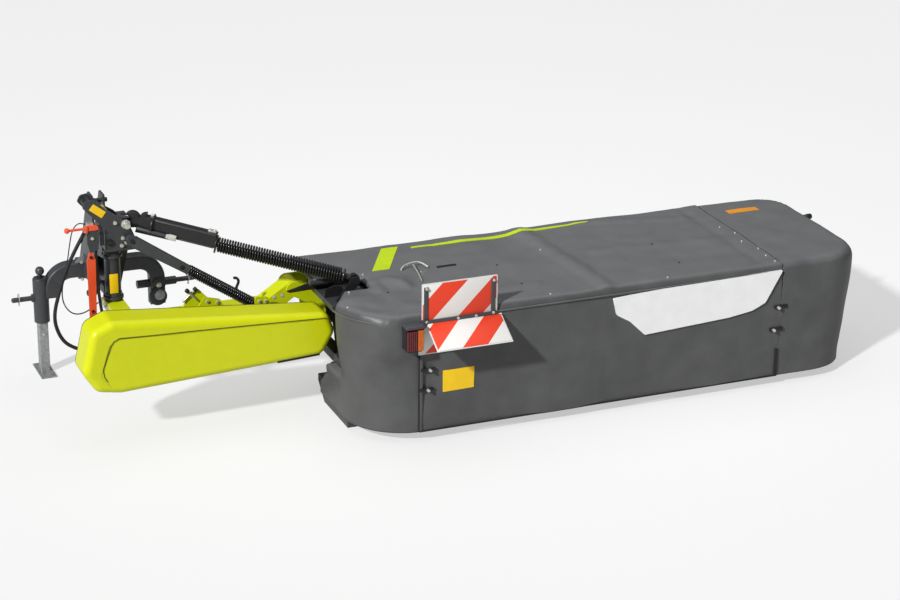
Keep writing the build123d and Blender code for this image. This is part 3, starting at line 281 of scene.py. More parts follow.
pull(main_cloth, lambda co: co.z < hem_z + 0.02 and co.x < 1.60, (hem_lean, 0.0, 0.0), hem_reach)
pull(main_cloth, lambda co: co.z > roof_z - 0.006, (0.0, 0.0, roof_swell), 0.03)
for place, size, move, reach in (
    ((1.75, -1.38, roof_z), 0.06, (0.0, 0.0, -0.006), 0.16),
    ((1.50, -1.10, roof_z), 0.07, (0.0, 0.0, -0.006), 0.10),
    ((1.66, -1.17, roof_z), 0.03, (0.0, 0.0, 0.012), 0.10),
    ((1.40, -1.38, roof_z), 0.05, (0.0, 0.0, 0.007), 0.10),
    ((1.47, -1.60, 0.60), 0.05, (-0.010, -0.020, 0.0), 0.13),
    ((1.56, -1.64, 0.38), 0.05, (0.004, 0.012, 0.0), 0.20),
    ((1.27, -1.40, 0.62), 0.05, (0.010, 0.006, 0.0), 0.14),
):
    dent(main_cloth, place, size, move, reach)


def crease(start, end, lift, reach, width=0.010):
    """Raise or sink the main cloth along a line of its top, between two places in X and Y."""
    start = Vector(start)
    way = Vector(end) - start

    def on_line(co):
        across = Vector((co.x, co.y)) - start
        along = across.dot(way) / way.length_squared
        return co.z > roof_z - 0.03 and 0.0 < along < 1.0 and (across - way * along).length < width

    pull(main_cloth, on_line, (0.0, 0.0, lift), reach)


crease((1.55, -1.10), (1.53, -1.27), 0.010, 0.045)
crease((1.62, -1.09), (1.70, -1.24), 0.009, 0.050)
crease((1.27, -1.36), (1.44, -1.50), -0.005, 0.060)
crease((2.05, -0.70), (2.56, -0.66), -0.006, 0.060)
for x, shift in ((2.00, 0.008), (2.45, -0.007), (2.92, 0.008), (3.34, -0.007)):
    dent(main_cloth, (x, rear_y, 0.10), 0.05, (0.0, shift, 0.0), 0.26)
crease((2.60, -0.62), (2.69, -1.60), 0.011, 0.070, width=0.012)
crease((2.42, -0.64), (2.50, -1.55), -0.005, 0.15, width=0.012)
crease((2.95, -0.64), (3.60, -0.78), 0.007, 0.06)
crease((2.85, -1.10), (3.62, -1.16), 0.006, 0.07)
crease((2.78, -1.36), (3.60, -1.38), -0.004, 0.09)
crease((3.63, -0.62), (3.64, -1.58), -0.004, 0.05)
crease((1.62, -1.50), (2.35, -1.43), 0.005, 0.06)
dent(main_cloth, (1.34, -1.47, 0.40), 0.03, (-0.006, -0.008, 0.0), 0.16)


def let_hang(piece, level):
    """Large dents, small creases and a real thickness, all applied."""
    for scale, depth in ((0.42, 0.016), (0.16, 0.005)):
        folds = bpy.data.textures.new(piece.name + "_folds", "CLOUDS")
        folds.noise_scale = scale
        folds.noise_depth = 1
        use_modifier(
            piece, "DISPLACE", texture=folds, strength=depth, mid_level=level, texture_coords="LOCAL"
        )
    use_modifier(piece, "SOLIDIFY", thickness=cloth_thick, offset=-1.0)
    bpy.ops.object.shade_smooth()
    piece.data.materials.append(cover_cloth)


let_hang(main_cloth, 0.48)
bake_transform(main_cloth)
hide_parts("roof", "rear_curtain", "corner_curtain", "front_cover")

# Outer cover, one cloth round the end of the bar that folds up on the end flap's hinge.
# Its corners are wide at the rear and tighter in front, and its hem leans in.
end_x = seam_x + 0.006
end_right = 4.3
end_rear_radius = 0.26
end_front_radius = 0.20
end_edge = 0.045
end_lean = 0.056
end_cloth = solid_box(
    "end_cloth", (end_x - spare_side, rear_y, hem_z - spare_low), (end_right, front_y, roof_z)
)
enter("EDIT")
bevel_edges(end_cloth, lambda a, b: min(a.x, b.x) > 4.2 and max(a.y, b.y) < -1.6, end_rear_radius, 12)
bevel_edges(end_cloth, lambda a, b: min(a.x, b.x) > 4.2 and min(a.y, b.y) > -0.6, end_front_radius, 10)
bevel_edges(end_cloth, lambda a, b: min(a.z, b.z) > 0.7 and max(a.x, b.x) > 3.7, end_edge, 4)
enter("OBJECT")
use_modifier(end_cloth, "REMESH", mode="VOXEL", voxel_size=0.015)
use_modifier(end_cloth, "SMOOTH", factor=0.5, iterations=8)
enter("EDIT")
trim((end_x, 0.0, 0.0), (1.0, 0.0, 0.0), clear_inner=True)
trim((0.0, 0.0, hem_z), (0.0, 0.0, 1.0), clear_inner=True)
enter("OBJECT")
pull(end_cloth, lambda co: co.z < hem_z + 0.02 and co.x > 3.95, (-end_lean, 0.0, 0.0), hem_reach)
pull(end_cloth, lambda co: co.z > roof_z - 0.006, (0.0, 0.0, roof_swell), 0.03)
dent(end_cloth, (4.20, -1.50, 0.55), 0.04, (0.010, -0.008, 0.0), 0.12)
dent(end_cloth, (3.95, -1.62, 0.66), 0.04, (0.0, 0.010, -0.006), 0.14)
dent(end_cloth, (3.88, -1.64, 0.48), 0.04, (0.0, -0.008, 0.0), 0.14)
dent(end_cloth, (4.08, -1.60, 0.36), 0.04, (0.0, 0.008, 0.0), 0.16)
let_hang(end_cloth, 0.5)
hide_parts("end_cover")
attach(end_cloth, "end_flap")


# What is sewn and buckled on the cloths: the hem of the roof over the curtains, the slit beside
# the corner with its two rubber buckles, those on the outer cover, and the strip at the seam.
# The straps are black rubber, and each is held by a zinc knob.
black_rubber = finish_material("black_rubber", (0.016, 0.016, 0.017), 0.6, "rubber", spread=0.15, bump=0.2)
zinc = finish_material("zinc", (0.66, 0.65, 0.60), 0.30, metal=0.6, spread=0.12, grain=60.0)


def settle(piece, material, body):
    """Finish a piece: its place goes into its mesh, it takes one material and rides on a body."""
    enter("OBJECT")
    take(piece)
    set_place()
    bpy.ops.object.shade_smooth_by_angle(angle=math.radians(35))
    piece.data.materials.clear()
    piece.data.materials.append(material)
    if body:
        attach(piece, body)
    return piece


def soft_box(name, low, high, edge, material, body, place=(0, 0, 0), turn=(0, 0, 0), segments=2):
    """A block with rounded edges, which is turned and carried to its place if it leans."""
    piece = solid_box(name, low, high)
    enter("EDIT")
    bpy.ops.mesh.select_all(action="SELECT")
    bpy.ops.mesh.bevel(offset=edge, segments=segments)
    piece.location = place
    piece.rotation_euler = turn
    return settle(piece, material, body)


def rod(name, start, end, radius, material, body, edge=0.0015, sides=24):
    """A round bar from one point to another with its rims chamfered."""
    start = Vector(start)
    end = Vector(end)
    way = end - start
    bpy.ops.object.select_all(action="DESELECT")
    bpy.ops.mesh.primitive_cylinder_add(
        vertices=sides,
        radius=radius,
        depth=way.length,
        location=(start + end) / 2,
        rotation=way.to_track_quat("Z", "Y").to_euler(),
    )
    piece = bpy.context.object
    piece.name = name
    half = way.length / 2
    enter("EDIT")
    bevel_edges(piece, lambda a, b: abs(a.z - b.z) < half / 2, edge, 2)
    return settle(piece, material, body)


def line_tube(name, points, radius, material, body, kind="POLY"):
    """A thin tube along a line of points."""
    curve = bpy.data.curves.new(name, "CURVE")
    curve.dimensions = "3D"
    curve.bevel_depth = radius
    curve.bevel_resolution = 3
    curve.use_fill_caps = True
    line = curve.splines.new(kind)
    line.points.add(len(points) - 1)
    for point, place in zip(line.points, points):
        point.co = (*place, 1.0)
    if kind == "NURBS":
        line.order_u = 3
        line.use_endpoint_u = True
        curve.resolution_u = 8
    piece = bpy.data.objects.new(name, curve)
    bpy.context.scene.collection.objects.link(piece)
    take(piece)
    bpy.ops.object.convert(target="MESH")
    return settle(bpy.context.object, material, body)


roof_hem_z = 0.684
corner = [
    (
        left_x + corner_radius - (corner_radius + 0.001) * math.cos(math.radians(a)),
        rear_y + corner_radius - (corner_radius + 0.004) * math.sin(math.radians(a)),
        roof_hem_z,
    )
    for a in range(0, 91, 6)
]
roof_hem = [(left_x - 0.001, -1.322, roof_hem_z)] + corner + [(seam_x - 0.01, rear_y - 0.004, roof_hem_z)]
line_tube("roof_hem", roof_hem, 0.0050, cover_cloth, "mower")
# A thin black tube along the rear hem: painted shadow, the dark contact-shadow line under the hem.
hem_shadow_line = [(x, rear_y - 0.004, hem_z + 0.004) for x in (1.606, 2.20, 2.90, 3.40, seam_x - 0.004)]
line_tube("hem_shadow_line", hem_shadow_line, 0.0045, black_rubber, "mower")
slit_x = 1.600
slit_low = 0.063
slit_top = 0.499
slit_rear = rear_y - 0.006
slit_front = rear_y + 0.002
# The slit is a thin black strip: painted shade in the gap beside the fold of cloth.
soft_box("corner_slit_shade", (slit_x, slit_rear, slit_low), (slit_x + 0.0035, slit_front, slit_top), 0.001,
         black_rubber, "mower")
soft_box("corner_fold", (slit_x + 0.006, slit_rear, slit_low), (slit_x + 0.022, slit_front, slit_top), 0.002,
         cover_cloth, "mower")
for name, x, z, left, right, depth, half, knob in (
    ("buckle_%s_1", 1.658, 0.413, 0.048, 0.034, 0.013, 0.008, 0.0085),
    ("buckle_%s_2", 1.648, 0.301, 0.048, 0.034, 0.013, 0.008, 0.0085),
    ("end_%s_1", 3.722, 0.475, 0.020, 0.060, 0.014, 0.010, 0.009),
    ("end_%s_2", 3.700, 0.345, 0.020, 0.060, 0.014, 0.010, 0.009),
):
    soft_box(name % "strap", (x - left, rear_y - depth, z - half), (x + right, rear_y, z + half), 0.003,
             black_rubber, "mower")
    rod(name % "knob", (x, rear_y - 0.010, z), (x, rear_y - 0.030, z), knob, zinc, "mower", edge=0.003)
soft_box("seam_strip", (seam_x - 0.022, rear_y - 0.009, 0.068), (seam_x - 0.006, slit_front, 0.225), 0.003,
         black_rubber, "mower")

# Badge panel: a plain white stiff sheet on the rear curtain, with its slanted and stepped
# outline and rounded corners. It is left blank.
white_panel = finish_material("white_panel", (0.86, 0.86, 0.86), 0.45, "board", spread=0.03, grain=12.0)


def outline_plate(name, outline, face_y, thick):
    """A flat plate across Y: a filled ring whose points are carried to X and Z, then extruded."""
    bpy.ops.object.select_all(action="DESELECT")
    bpy.ops.mesh.primitive_circle_add(
        vertices=len(outline), radius=9.0, fill_type="NGON", rotation=(math.radians(90), 0.0, 0.0)
    )
    piece = bpy.context.object
    piece.name = name
    set_place()
    ring = [vert.co.copy() for vert in piece.data.vertices]
    enter("EDIT")
    for place, (x, z) in zip(ring, outline):
        pick(piece, "VERT", lambda co: (co - place).length < 0.001)
        bpy.ops.transform.translate(value=Vector((x, face_y, z)) - place)
    bpy.ops.mesh.select_all(action="SELECT")
    bpy.ops.mesh.extrude_region_move(TRANSFORM_OT_translate={"value": (0.0, thick, 0.0)})
    bpy.ops.mesh.select_all(action="SELECT")
    bpy.ops.mesh.normals_make_consistent(inside=False)
    return piece


badge_outline = [
    (2.712, 0.662), (2.735, 0.566), (2.815, 0.518), (2.905, 0.430),
    (3.420, 0.458), (3.560, 0.478), (3.640, 0.515), (3.738, 0.690), (3.000, 0.680),
]
badge = outline_plate("badge", badge_outline, rear_y - 0.0130, 0.0150)
bevel_edges(badge, lambda a, b: abs(a.y - b.y) > 0.005, 0.006, 3)
settle(badge, white_panel, "mower")

# Flat marks on the covers: the lime stripe beside the strut, which folds with the cloth, the
# thin line that tapers off to the right, and two blank labels. Each is a film on the cloth.
lime_stripe = finish_material("lime_stripe", (0.52, 0.68, 0.01), 0.35, "lime_paint", spread=0.03, grain=20.0)
yellow_label = finish_material("yellow_label", (0.95, 0.60, 0.01), 0.35, "board", spread=0.03, grain=30.0)
amber_label = finish_material("amber_label", (0.75, 0.30, 0.02), 0.35, "board", spread=0.03, grain=30.0)


def cloth_patch(name, corners, cuts, cloth, material, body):
    """A thin patch lying on a cloth: a cut-up plane drawn down or forward onto it, then thickened."""
    bpy.ops.object.select_all(action="DESELECT")
    bpy.ops.mesh.primitive_plane_add(size=20.0)
    piece = bpy.context.object
    piece.name = name
    plain = [vert.co.copy() for vert in piece.data.vertices]
    enter("EDIT")
    for place, corner in zip(plain, corners):
        pick(piece, "VERT", lambda co: (co - place).length < 0.001)
        bpy.ops.transform.translate(value=Vector(corner) - place)
    bpy.ops.mesh.select_all(action="SELECT")
    bpy.ops.mesh.subdivide(number_cuts=cuts)
    enter("OBJECT")
    lies = abs(corners[0][2] - corners[3][2]) < 0.001
    use_modifier(
        piece,
        "SHRINKWRAP",
        target=cloth,
        wrap_method="PROJECT",
        use_project_y=not lies,
        use_project_z=lies,
        use_positive_direction=not lies,
        use_negative_direction=lies,
        offset=0.0016,
    )
    use_modifier(piece, "SOLIDIFY", thickness=0.002, offset=0.0)
    return settle(piece, material, body)


high = roof_z + 0.10
stripe_corners = [(1.595, -0.967, high), (1.695, -0.967, high), (1.765, -0.655, high), (1.865, -0.655, high)]
stripe = cloth_patch("lime_stripe", stripe_corners, 8, main_cloth, lime_stripe, "")
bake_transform(stripe)
line_corners = [(1.93, -0.700, high), (2.56, -0.690, high), (1.93, -0.680, high), (2.56, -0.650, high)]
cloth_patch("lime_line", line_corners, 14, main_cloth, lime_stripe, "front_flap")
tail_corners = [(2.56, -0.690, high), (3.02, -0.668, high), (2.56, -0.650, high), (3.02, -0.660, high)]
cloth_patch("lime_tail", tail_corners, 10, main_cloth, lime_stripe, "front_flap")
label_corners = [(3.86, -0.815, high), (4.055, -0.815, high), (3.86, -0.760, high), (4.055, -0.760, high)]
cloth_patch("end_label", label_corners, 4, end_cloth, amber_label, "end_flap")
far = rear_y - 0.10
yellow_corners = [(1.737, far, 0.271), (1.915, far, 0.271), (1.737, far, 0.392), (1.915, far, 0.392)]
cloth_patch("curtain_label", yellow_corners, 4, main_cloth, yellow_label, "mower")

# Fittings on the top of the covers: the silver hook that is kept there with its rod, the black
# slot that it goes through, zinc rivets along the edges, and the dark heads between them.
hook_z = roof_z + 0.012
hook_handle = [
    (1.743, -1.016, hook_z), (1.760, -0.990, hook_z + 0.012), (1.827, -0.967, hook_z + 0.02),
    (1.876, -0.976, hook_z + 0.018), (1.900, -1.018, hook_z),
]
line_tube("hook_handle", hook_handle, 0.005, zinc, "mower", kind="NURBS")
hook_rod = [(1.826, -0.985, hook_z + 0.012), (1.812, -1.09, hook_z + 0.006), (1.791, -1.203, hook_z)]
line_tube("hook_rod", hook_rod, 0.004, zinc, "mower")
soft_box("hook_slot", (1.948, -1.036, roof_z), (2.060, -1.016, hook_z), 0.004, black_rubber, "mower")


def studs(name, places, way, radius, height, material, body, sides=12):
    """Rivet or bolt heads of one size standing out along one direction, joined in one piece."""
    way = Vector(way)
    made = []
    for place in places:
        start = Vector(place) - way * 0.002
        end = start + way * (height + 0.002)
        made.append(rod("stud", start, end, radius, material, body, edge=height * 0.3, sides=sides))
    bpy.ops.object.select_all(action="DESELECT")
    for piece in made:
        piece.select_set(True)
    bpy.context.view_layer.objects.active = made[0]
    bpy.ops.object.join()
    made[0].name = name


def on_roof(x, y, sunk):
    """The place on top of the main cloth above X and Y, a little below its surface."""
    place = main_cloth.ray_cast(Vector((x, y, 2.0)), Vector((0.0, 0.0, -1.0)))[1]
    return (x, y, place.z - sunk)


rivets = [(3.695, -1.00), (3.728, -1.12), (3.700, -1.25), (3.734, -1.38), (3.720, -1.49), (3.720, -1.59)]
rivets += [(3.052, -1.607), (2.583, -0.985), (2.360, -1.607), (1.534, -0.99), (1.371, -1.219), (1.290, -1.42)]
studs("rivets", [on_roof(x, y, 0.002) for x, y in rivets], (0, 0, 1), 0.006, 0.008, zinc, "mower")
dots = [(3.201, -1.124), (3.215, -1.425), (1.560, -1.295), (2.262, -1.121), (2.272, -1.427)]
studs("dark_dots", [on_roof(x, y, 0.003) for x, y in dots], (0, 0, 1), 0.0055, 0.007, black_rubber, "mower")


# Warning board: red and white reflective sheet on a plate above the covers' rear edge, its lower
# half behind a tilted flap. Dark straps with bolts hold it at the side and along the hinge.
stripe_pitch = 0.283
board_red = (0.78, 0.055, 0.020)
board_pale = (0.78, 0.77, 0.74)


def striped_material(name, down_y, down_z, shift):
    """Diagonal stripes from the object's own coordinates, one pitch apart along the board."""
    material = finish_material(name, (0.8, 0.8, 0.8), 0.3, "board", spread=0.02, grain=120.0)
    tree = material.node_tree
    link = tree.links.new
    place = add_node(tree, "TexCoord")
    slide = add_node(tree, "VectorMath", "DOT_PRODUCT")
    slide.inputs[1].default_value = (1 / stripe_pitch, -down_y / stripe_pitch, -down_z / stripe_pitch)
    link(place.outputs["Object"], slide.inputs[0])
    step = add_node(tree, "Math", "ADD")
    step.inputs[1].default_value = shift
    link(slide.outputs["Value"], step.inputs[0])
    part = add_node(tree, "Math", "FRACT")
    link(step.outputs["Value"], part.inputs[0])
    half = add_node(tree, "Math", "GREATER_THAN")
    half.inputs[1].default_value = 0.5
    link(part.outputs["Value"], half.inputs[0])
    mix = add_node(tree, "Mix", A=(*board_pale, 1.0), B=(*board_red, 1.0))
    link(half.outputs["Value"], mix.inputs["Factor"])
    link(mix.outputs["Result"], tree.nodes["Principled BSDF"].inputs["Base Color"])
    return material


dark_strap = finish_material("dark_strap", (0.060, 0.064, 0.070), 0.4, "dark_paint", spread=0.08, coat=0.1)
board_white = finish_material("board_white", (0.74, 0.74, 0.72), 0.35, "board", spread=0.03)
board_left = 1.612
board_right = board_left + 0.423
board_top = 0.893
hinge_z = 0.676
board_shift = (board_top - board_left) / stripe_pitch + 0.076
stripes = striped_material("board_stripes", 0.0, 1.0, board_shift)
dress(board_white, "warning_board", "board_flap")
dress(dark_strap, "board_straps")
for name, left, depth, low, right, front, top, edge, finish in (
    ("board_face", 0.006, 0.0105, hinge_z, -0.006, 0.0085, board_top - 0.006, 0.0008, stripes),
    ("board_lower", -0.012, 0.0135, 0.508, -0.012, 0.0085, hinge_z - 0.006, 0.0008, stripes),
    ("board_lower_rim", -0.018, 0.012, 0.502, -0.006, 0.0065, hinge_z - 0.006, 0.002, board_white),
    ("board_strap_left", 0.010, 0.015, hinge_z + 0.004, -0.389, 0.010, board_top - 0.018, 0.002, dark_strap),
    ("board_strap_right", 0.386, 0.015, hinge_z + 0.004, -0.013, 0.010, board_top - 0.018, 0.002, dark_strap),
    ("board_strap_low", 0.006, 0.020, hinge_z - 0.006, 0.005, 0.010, hinge_z + 0.018, 0.003, dark_strap),
):
    soft_box(name, (board_left + left, rear_y - depth, low), (board_right + right, rear_y - front, top), edge,
             finish, "mower")
flap_tilt = math.radians(60)
flap_shift = -board_left / stripe_pitch + 0.40
flap_stripes = striped_material("flap_stripes", math.sin(flap_tilt), math.cos(flap_tilt), flap_shift)
soft_box("flap_face", (board_left + 0.028, -0.002, -0.182), (board_left + 0.439, 0.0, 0.0), 0.0008,
         flap_stripes, "mower", place=(0.0, rear_y - 0.0165, 0.674), turn=(-flap_tilt, 0.0, 0.0))
board_bolts = [(0.022, 0.868), (0.022, 0.688), (0.398, 0.868), (0.398, 0.688), (0.200, 0.684), (0.300, 0.684)]
studs("board_bolts", [(board_left + x, rear_y - 0.0185, z) for x, z in board_bolts], (0, -1, 0), 0.008, 0.006,
      zinc, "mower")

# Tail lamp: a black housing on a bracket beside the board, under a dark hood. It has a red lens
# and a narrower amber one, both of glossy plastic with raised upright ribs.
lamp_shell = finish_material("lamp_shell", (0.020, 0.020, 0.022), 0.45, "lamp", spread=0.1)
lens_gloss = {"slot": "lamp", "grain": 70.0, "coat": 0.8}
lens_red = finish_material("lens_red", (0.10, 0.004, 0.006), 0.12, spread=0.35, **lens_gloss)
lens_amber = finish_material("lens_amber", (0.60, 0.12, 0.008), 0.12, spread=0.2, **lens_gloss)
dress(lamp_shell, "tail_lamp")
lens_rear = rear_y - 0.074
lens_front = rear_y - 0.062
lens_low = 0.555
lens_top = 0.668
for name, left, right, ribs, finish in (
    ("lens_red", 1.507, 1.563, 4, lens_red),
    ("lens_amber", 1.568, 1.598, 2, lens_amber),
):
    lens = solid_box(name, (left, lens_rear, lens_low), (right, lens_front, lens_top))
    enter("EDIT")
    pick(lens, "EDGE", lambda a, b: abs(a.x - b.x) > 0.01)
    bpy.ops.mesh.subdivide(number_cuts=ribs)
    pick(lens, "FACE", lambda co, normal: normal.y < -0.9)
    bpy.ops.mesh.inset(thickness=0.0018, depth=0.0, use_individual=True)
    bpy.ops.transform.translate(value=(0.0, -0.003, 0.0))
    settle(lens, finish, "mower")
soft_box("lamp_hood", (1.500, rear_y - 0.080, 0.676), (1.607, rear_y - 0.002, 0.693), 0.006, dark_strap,
         "mower")
soft_box("lamp_bracket", (1.590, rear_y - 0.024, 0.660), (1.640, rear_y - 0.016, 0.700), 0.002, dark_strap,
         "mower")

# Under the covers: dark painted tubes and bows of the frame, the cutterbar with its two shoes,
# black skids worn by the ground, and bare discs with their blades. A black cap ends the stay.
black_paint = finish_material("black_paint", (0.014, 0.014, 0.015), 0.36, spread=0.12, coat=0.2)
dark_paint = finish_material("dark_paint", (0.046, 0.049, 0.054), 0.40, spread=0.10, grain=24.0, coat=0.15)
dress(dark_paint, "main_tube", "roof_bows", "frame_posts", "flap_tube", "flap_bows", "end_flap_frame")
dress(dark_paint, "end_hinge", "cutterbar", "inner_shoe", "outer_shoe", "bracket_beams")
worn_black = finish_material("worn_black", (0.030, 0.031, 0.032), 0.5, spread=0.3, grain=30.0)
dress(worn_black, "skids")
disc_steel = finish_material("disc_steel", (0.22, 0.21, 0.20), 0.42, metal=0.8, spread=0.25, grain=40.0)
dress(disc_steel, "disc_1", "disc_2", "disc_3", "disc_4", "disc_5", "disc_6")
rod("stay_end", (4.296, -0.94, 0.698), (4.327, -0.94, 0.698), 0.0165, black_paint, "end_flap", edge=0.004)


# Relief springs: close coils of black painted wire round each strut's rod, seated between a
# collar at the channel and a collar beside the eye.
spring_black = finish_material("spring_black", (0.006, 0.006, 0.0065), 0.30, spread=0.1, coat=0.2)
head = Vector((0.344, -0.540, 1.028))
eye = Vector((1.446, -1.090, 0.752))
low_head = Vector((0.362, -0.632, 0.947))
low_eye = Vector((1.043, -0.790, 0.520))


def coil_spring(name, start, end, outer, wire, turns):
    """A wire circle carried round and along the axis by the screw, then laid on its line."""
    way = end - start
    bpy.ops.object.select_all(action="DESELECT")
    bpy.ops.mesh.primitive_circle_add(
        vertices=8,
        radius=wire / 2,
        location=(outer - wire / 2, 0.0, 0.0),
        rotation=(math.radians(90), 0.0, 0.0),
    )
    piece = bpy.context.object
    piece.name = name
    set_place()
    use_modifier(
        piece,
        "SCREW",
        axis="Z",
        screw_offset=(way.length - wire) / turns,
        iterations=turns,
        steps=16,
        render_steps=16,
        use_merge_vertices=False,
    )
    enter("EDIT")
    bpy.ops.mesh.select_all(action="SELECT")
    bpy.ops.mesh.normals_make_consistent(inside=False)
    enter("OBJECT")
    piece.location = start + way.normalized() * wire / 2
    piece.rotation_euler = way.to_track_quat("Z", "Y").to_euler()
    set_place()
    bpy.ops.object.shade_smooth()
    piece.data.materials.append(spring_black)
    return piece


along_upper = (eye - head).normalized()
coil_start = head + along_upper * 0.512
upper_coil = coil_spring("upper_coil", coil_start, eye - along_upper * 0.060, 0.0415, 0.0122, 47)
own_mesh(upper_coil)
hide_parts("upper_spring")
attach(upper_coil, "upper_barrel")
along_lower = (low_eye - low_head).normalized()
low_start = low_head + along_lower * 0.348
lower_coil = coil_spring("lower_coil", low_start, low_eye - along_lower * 0.074, 0.031, 0.0108, 30)
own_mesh(lower_coil)
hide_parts("lower_spring")
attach(lower_coil, "lower_barrel")
for name, place, way, start, end, radius, finish, body, edge in (
    ("upper_seat", head, along_upper, 0.5055, 0.513, 0.050, black_paint, "upper_barrel", 0.002),
    ("upper_collar", eye, along_upper, -0.062, -0.050, 0.037, black_paint, "upper_slide", 0.004),
    ("lower_seat", low_head, along_lower, 0.342, 0.349, 0.029, dark_paint, "lower_barrel", 0.002),
    ("lower_collar", low_eye, along_lower, -0.076, -0.064, 0.025, black_paint, "lower_slide", 0.003),
):
    rod(name, place + way * start, place + way * end, radius, finish, body, edge=edge)

# Upper strut: dark channel drawn in satin black, which also stands as painted shade for its open web,
# with a rounded head, the lift cylinder's pipe below it and a zinc fitting at the pipe's end, and the
# zinc catch bolted on its back before the spring.
dress(black_paint, "upper_channel", "channel_head", "strut_knuckle", "upper_rod", "lower_rod")
side = Vector((0.0, 0.0, 1.0)).cross(along_upper).normalized()
rise = along_upper.cross(side)


def on_strut(distance, sideways, upwards):
    return head + along_upper * distance + side * sideways + rise * upwards


# Two rods along the flange edges, a lighter grey than the channel: painted highlights where the sun catches
# the edges.
for name, upwards in (("channel_highlight_top", 0.0585), ("channel_highlight_low", -0.012)):
    rod(name, on_strut(0.170, -0.0335, upwards), on_strut(0.500, -0.0335, upwards), 0.0045, dark_paint,
        "upper_barrel", edge=0.001, sides=16)
rod("head_cheek", on_strut(0.046, -0.022, 0.026), on_strut(0.046, 0.022, 0.026), 0.044, black_paint,
    "upper_barrel", edge=0.005, sides=36)
bpy.ops.object.select_all(action="DESELECT")
bpy.ops.mesh.primitive_torus_add(
    major_segments=40, minor_segments=10, major_radius=0.052, minor_radius=0.0075,
    location=on_strut(0.157, 0.0, 0.020), rotation=along_upper.to_track_quat("Z", "Y").to_euler(),
)
hoop = bpy.context.object
hoop.name = "head_ring"
set_place()
enter("EDIT")
trim(on_strut(0.157, 0.0, 0.004), rise, use_fill=True, clear_inner=True)
settle(hoop, black_paint, "upper_barrel")
for name, start, end, radius, finish, edge, sides in (
    ("head_bolt", (0.150, -0.020, 0.072), (0.152, -0.034, 0.090), 0.010, zinc, 0.003, 24),
    ("cylinder_pipe", (0.080, -0.040, -0.006), (0.270, -0.042, -0.008), 0.010, dark_paint, 0.003, 24),
    ("cylinder_pipe_low", (0.075, -0.012, -0.034), (0.262, -0.026, -0.026), 0.006, black_paint, 0.0015, 24),
    ("pipe_fitting", (0.255, -0.044, -0.008), (0.300, -0.044, -0.008), 0.0165, zinc, 0.004, 6),
    ("pipe_nut", (0.243, -0.044, -0.008), (0.257, -0.044, -0.008), 0.013, zinc, 0.003, 6),
):
    rod(name, on_strut(*start), on_strut(*end), radius, finish, "upper_barrel", edge=edge, sides=sides)
soft_box("strut_catch", (-0.022, -0.016, 0.0), (0.022, 0.016, 0.010), 0.003, zinc, "upper_barrel",
         place=on_strut(0.475, 0.0, 0.062), turn=along_upper.to_track_quat("X", "Z").to_euler())
studs("catch_bolts", [on_strut(0.462, 0.0, 0.071), on_strut(0.488, 0.0, 0.071)], rise, 0.007, 0.006, zinc,
      "upper_barrel")
studs("eye_tip", [eye + along_upper * 0.021 + Vector((0, -0.008, 0))], along_upper, 0.005, 0.006, zinc,
      "upper_slide")

# Lower strut: dark tapered tube with two black bolts, one at its head and one where the spring
# begins, and a zinc bolt through the boom's lugs at its eye.
dress(dark_paint, "lower_tube")
low_bolts = [low_head + Vector((0.0, -0.0155, 0.0))]
low_bolts += [low_head + along_lower * 0.30 + Vector((0.0, -0.017, 0.0))]
studs("low_head_bolts", low_bolts, (0, -1, 0), 0.012, 0.010, black_paint, "lower_barrel", sides=6)
low_eye_face = low_eye + Vector((0.0, -0.0385, 0.0))
studs("low_eye_bolt", [low_eye_face], (0, -1, 0), 0.013, 0.012, zinc, "boom", sides=6)


# Mast: two dark plates leaning left over the kingpin, with a black grip tube between their tips,
# a zinc pin and bolts through them, a pale inner pad and a blank yellow label.
dress(dark_paint, "mast_braces")
dress(zinc, "kingpin", "input_shaft")
mast_face = -0.602
mast_outline = [
    (0.112, 1.146), (0.130, 1.180), (0.172, 1.186), (0.251, 1.112), (0.305, 1.078), (0.362, 1.024),
    (0.388, 0.960), (0.374, 0.884), (0.226, 0.884), (0.224, 1.020), (0.187, 1.062),
]
for name, face_y in (("mast_rear", mast_face), ("mast_front", -0.490)):
    cheek = outline_plate(name, mast_outline, face_y, 0.012)
    bevel_edges(cheek, lambda a, b: abs(a.y - b.y) > 0.008, 0.009, 4)
    pick(cheek, "FACE", lambda co, normal: abs(normal.y) > 0.9)
    bpy.ops.mesh.inset(thickness=0.0015, depth=0.0)
    settle(cheek, dark_paint, "swing_frame")
    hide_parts("mast_plates")
rod("grip_tube", (0.140, -0.596, 1.158), (0.140, -0.484, 1.158), 0.016, black_paint, "swing_frame",
    edge=0.004)
pin_root = mast_face + 0.002
rod("strut_pin", (0.340, pin_root, 1.030), (0.340, mast_face - 0.046, 1.034), 0.018, zinc, "swing_frame",
    edge=0.004, sides=32)
rod("strut_pin_head", (0.341, pin_root, 1.032), (0.341, mast_face - 0.010, 1.032), 0.025, zinc, "swing_frame",
    edge=0.003, sides=32)
mast_bolts = [(0.283, 1.046), (0.322, 0.956), (0.315, 0.914), (0.340, 0.930)]
studs("mast_bolts", [(x, mast_face, z) for x, z in mast_bolts], (0, -1, 0), 0.012, 0.012, zinc, "swing_frame",
      sides=6)
studs("mast_eye", [(0.253, mast_face, 0.939)], (0, -1, 0), 0.019, 0.010, black_paint, "swing_frame", sides=24)
pale_pad = finish_material("pale_pad", (0.42, 0.42, 0.10), 0.5, "lime_paint", spread=0.1)
soft_box("mast_pad", (0.190, -0.588, 1.072), (0.250, -0.494, 1.120), 0.006, pale_pad, "swing_frame")
soft_box("mast_label", (-0.042, -0.0015, -0.020), (0.042, 0.0, 0.020), 0.0005, yellow_label, "swing_frame",
         place=(0.192, mast_face - 0.0004, 1.122), turn=(0.0, math.radians(38), 0.0), segments=1)
soft_box("mast_foot", (0.225, -0.606, 0.885), (0.400, -0.601, 0.902), 0.002, dark_paint, "swing_frame")

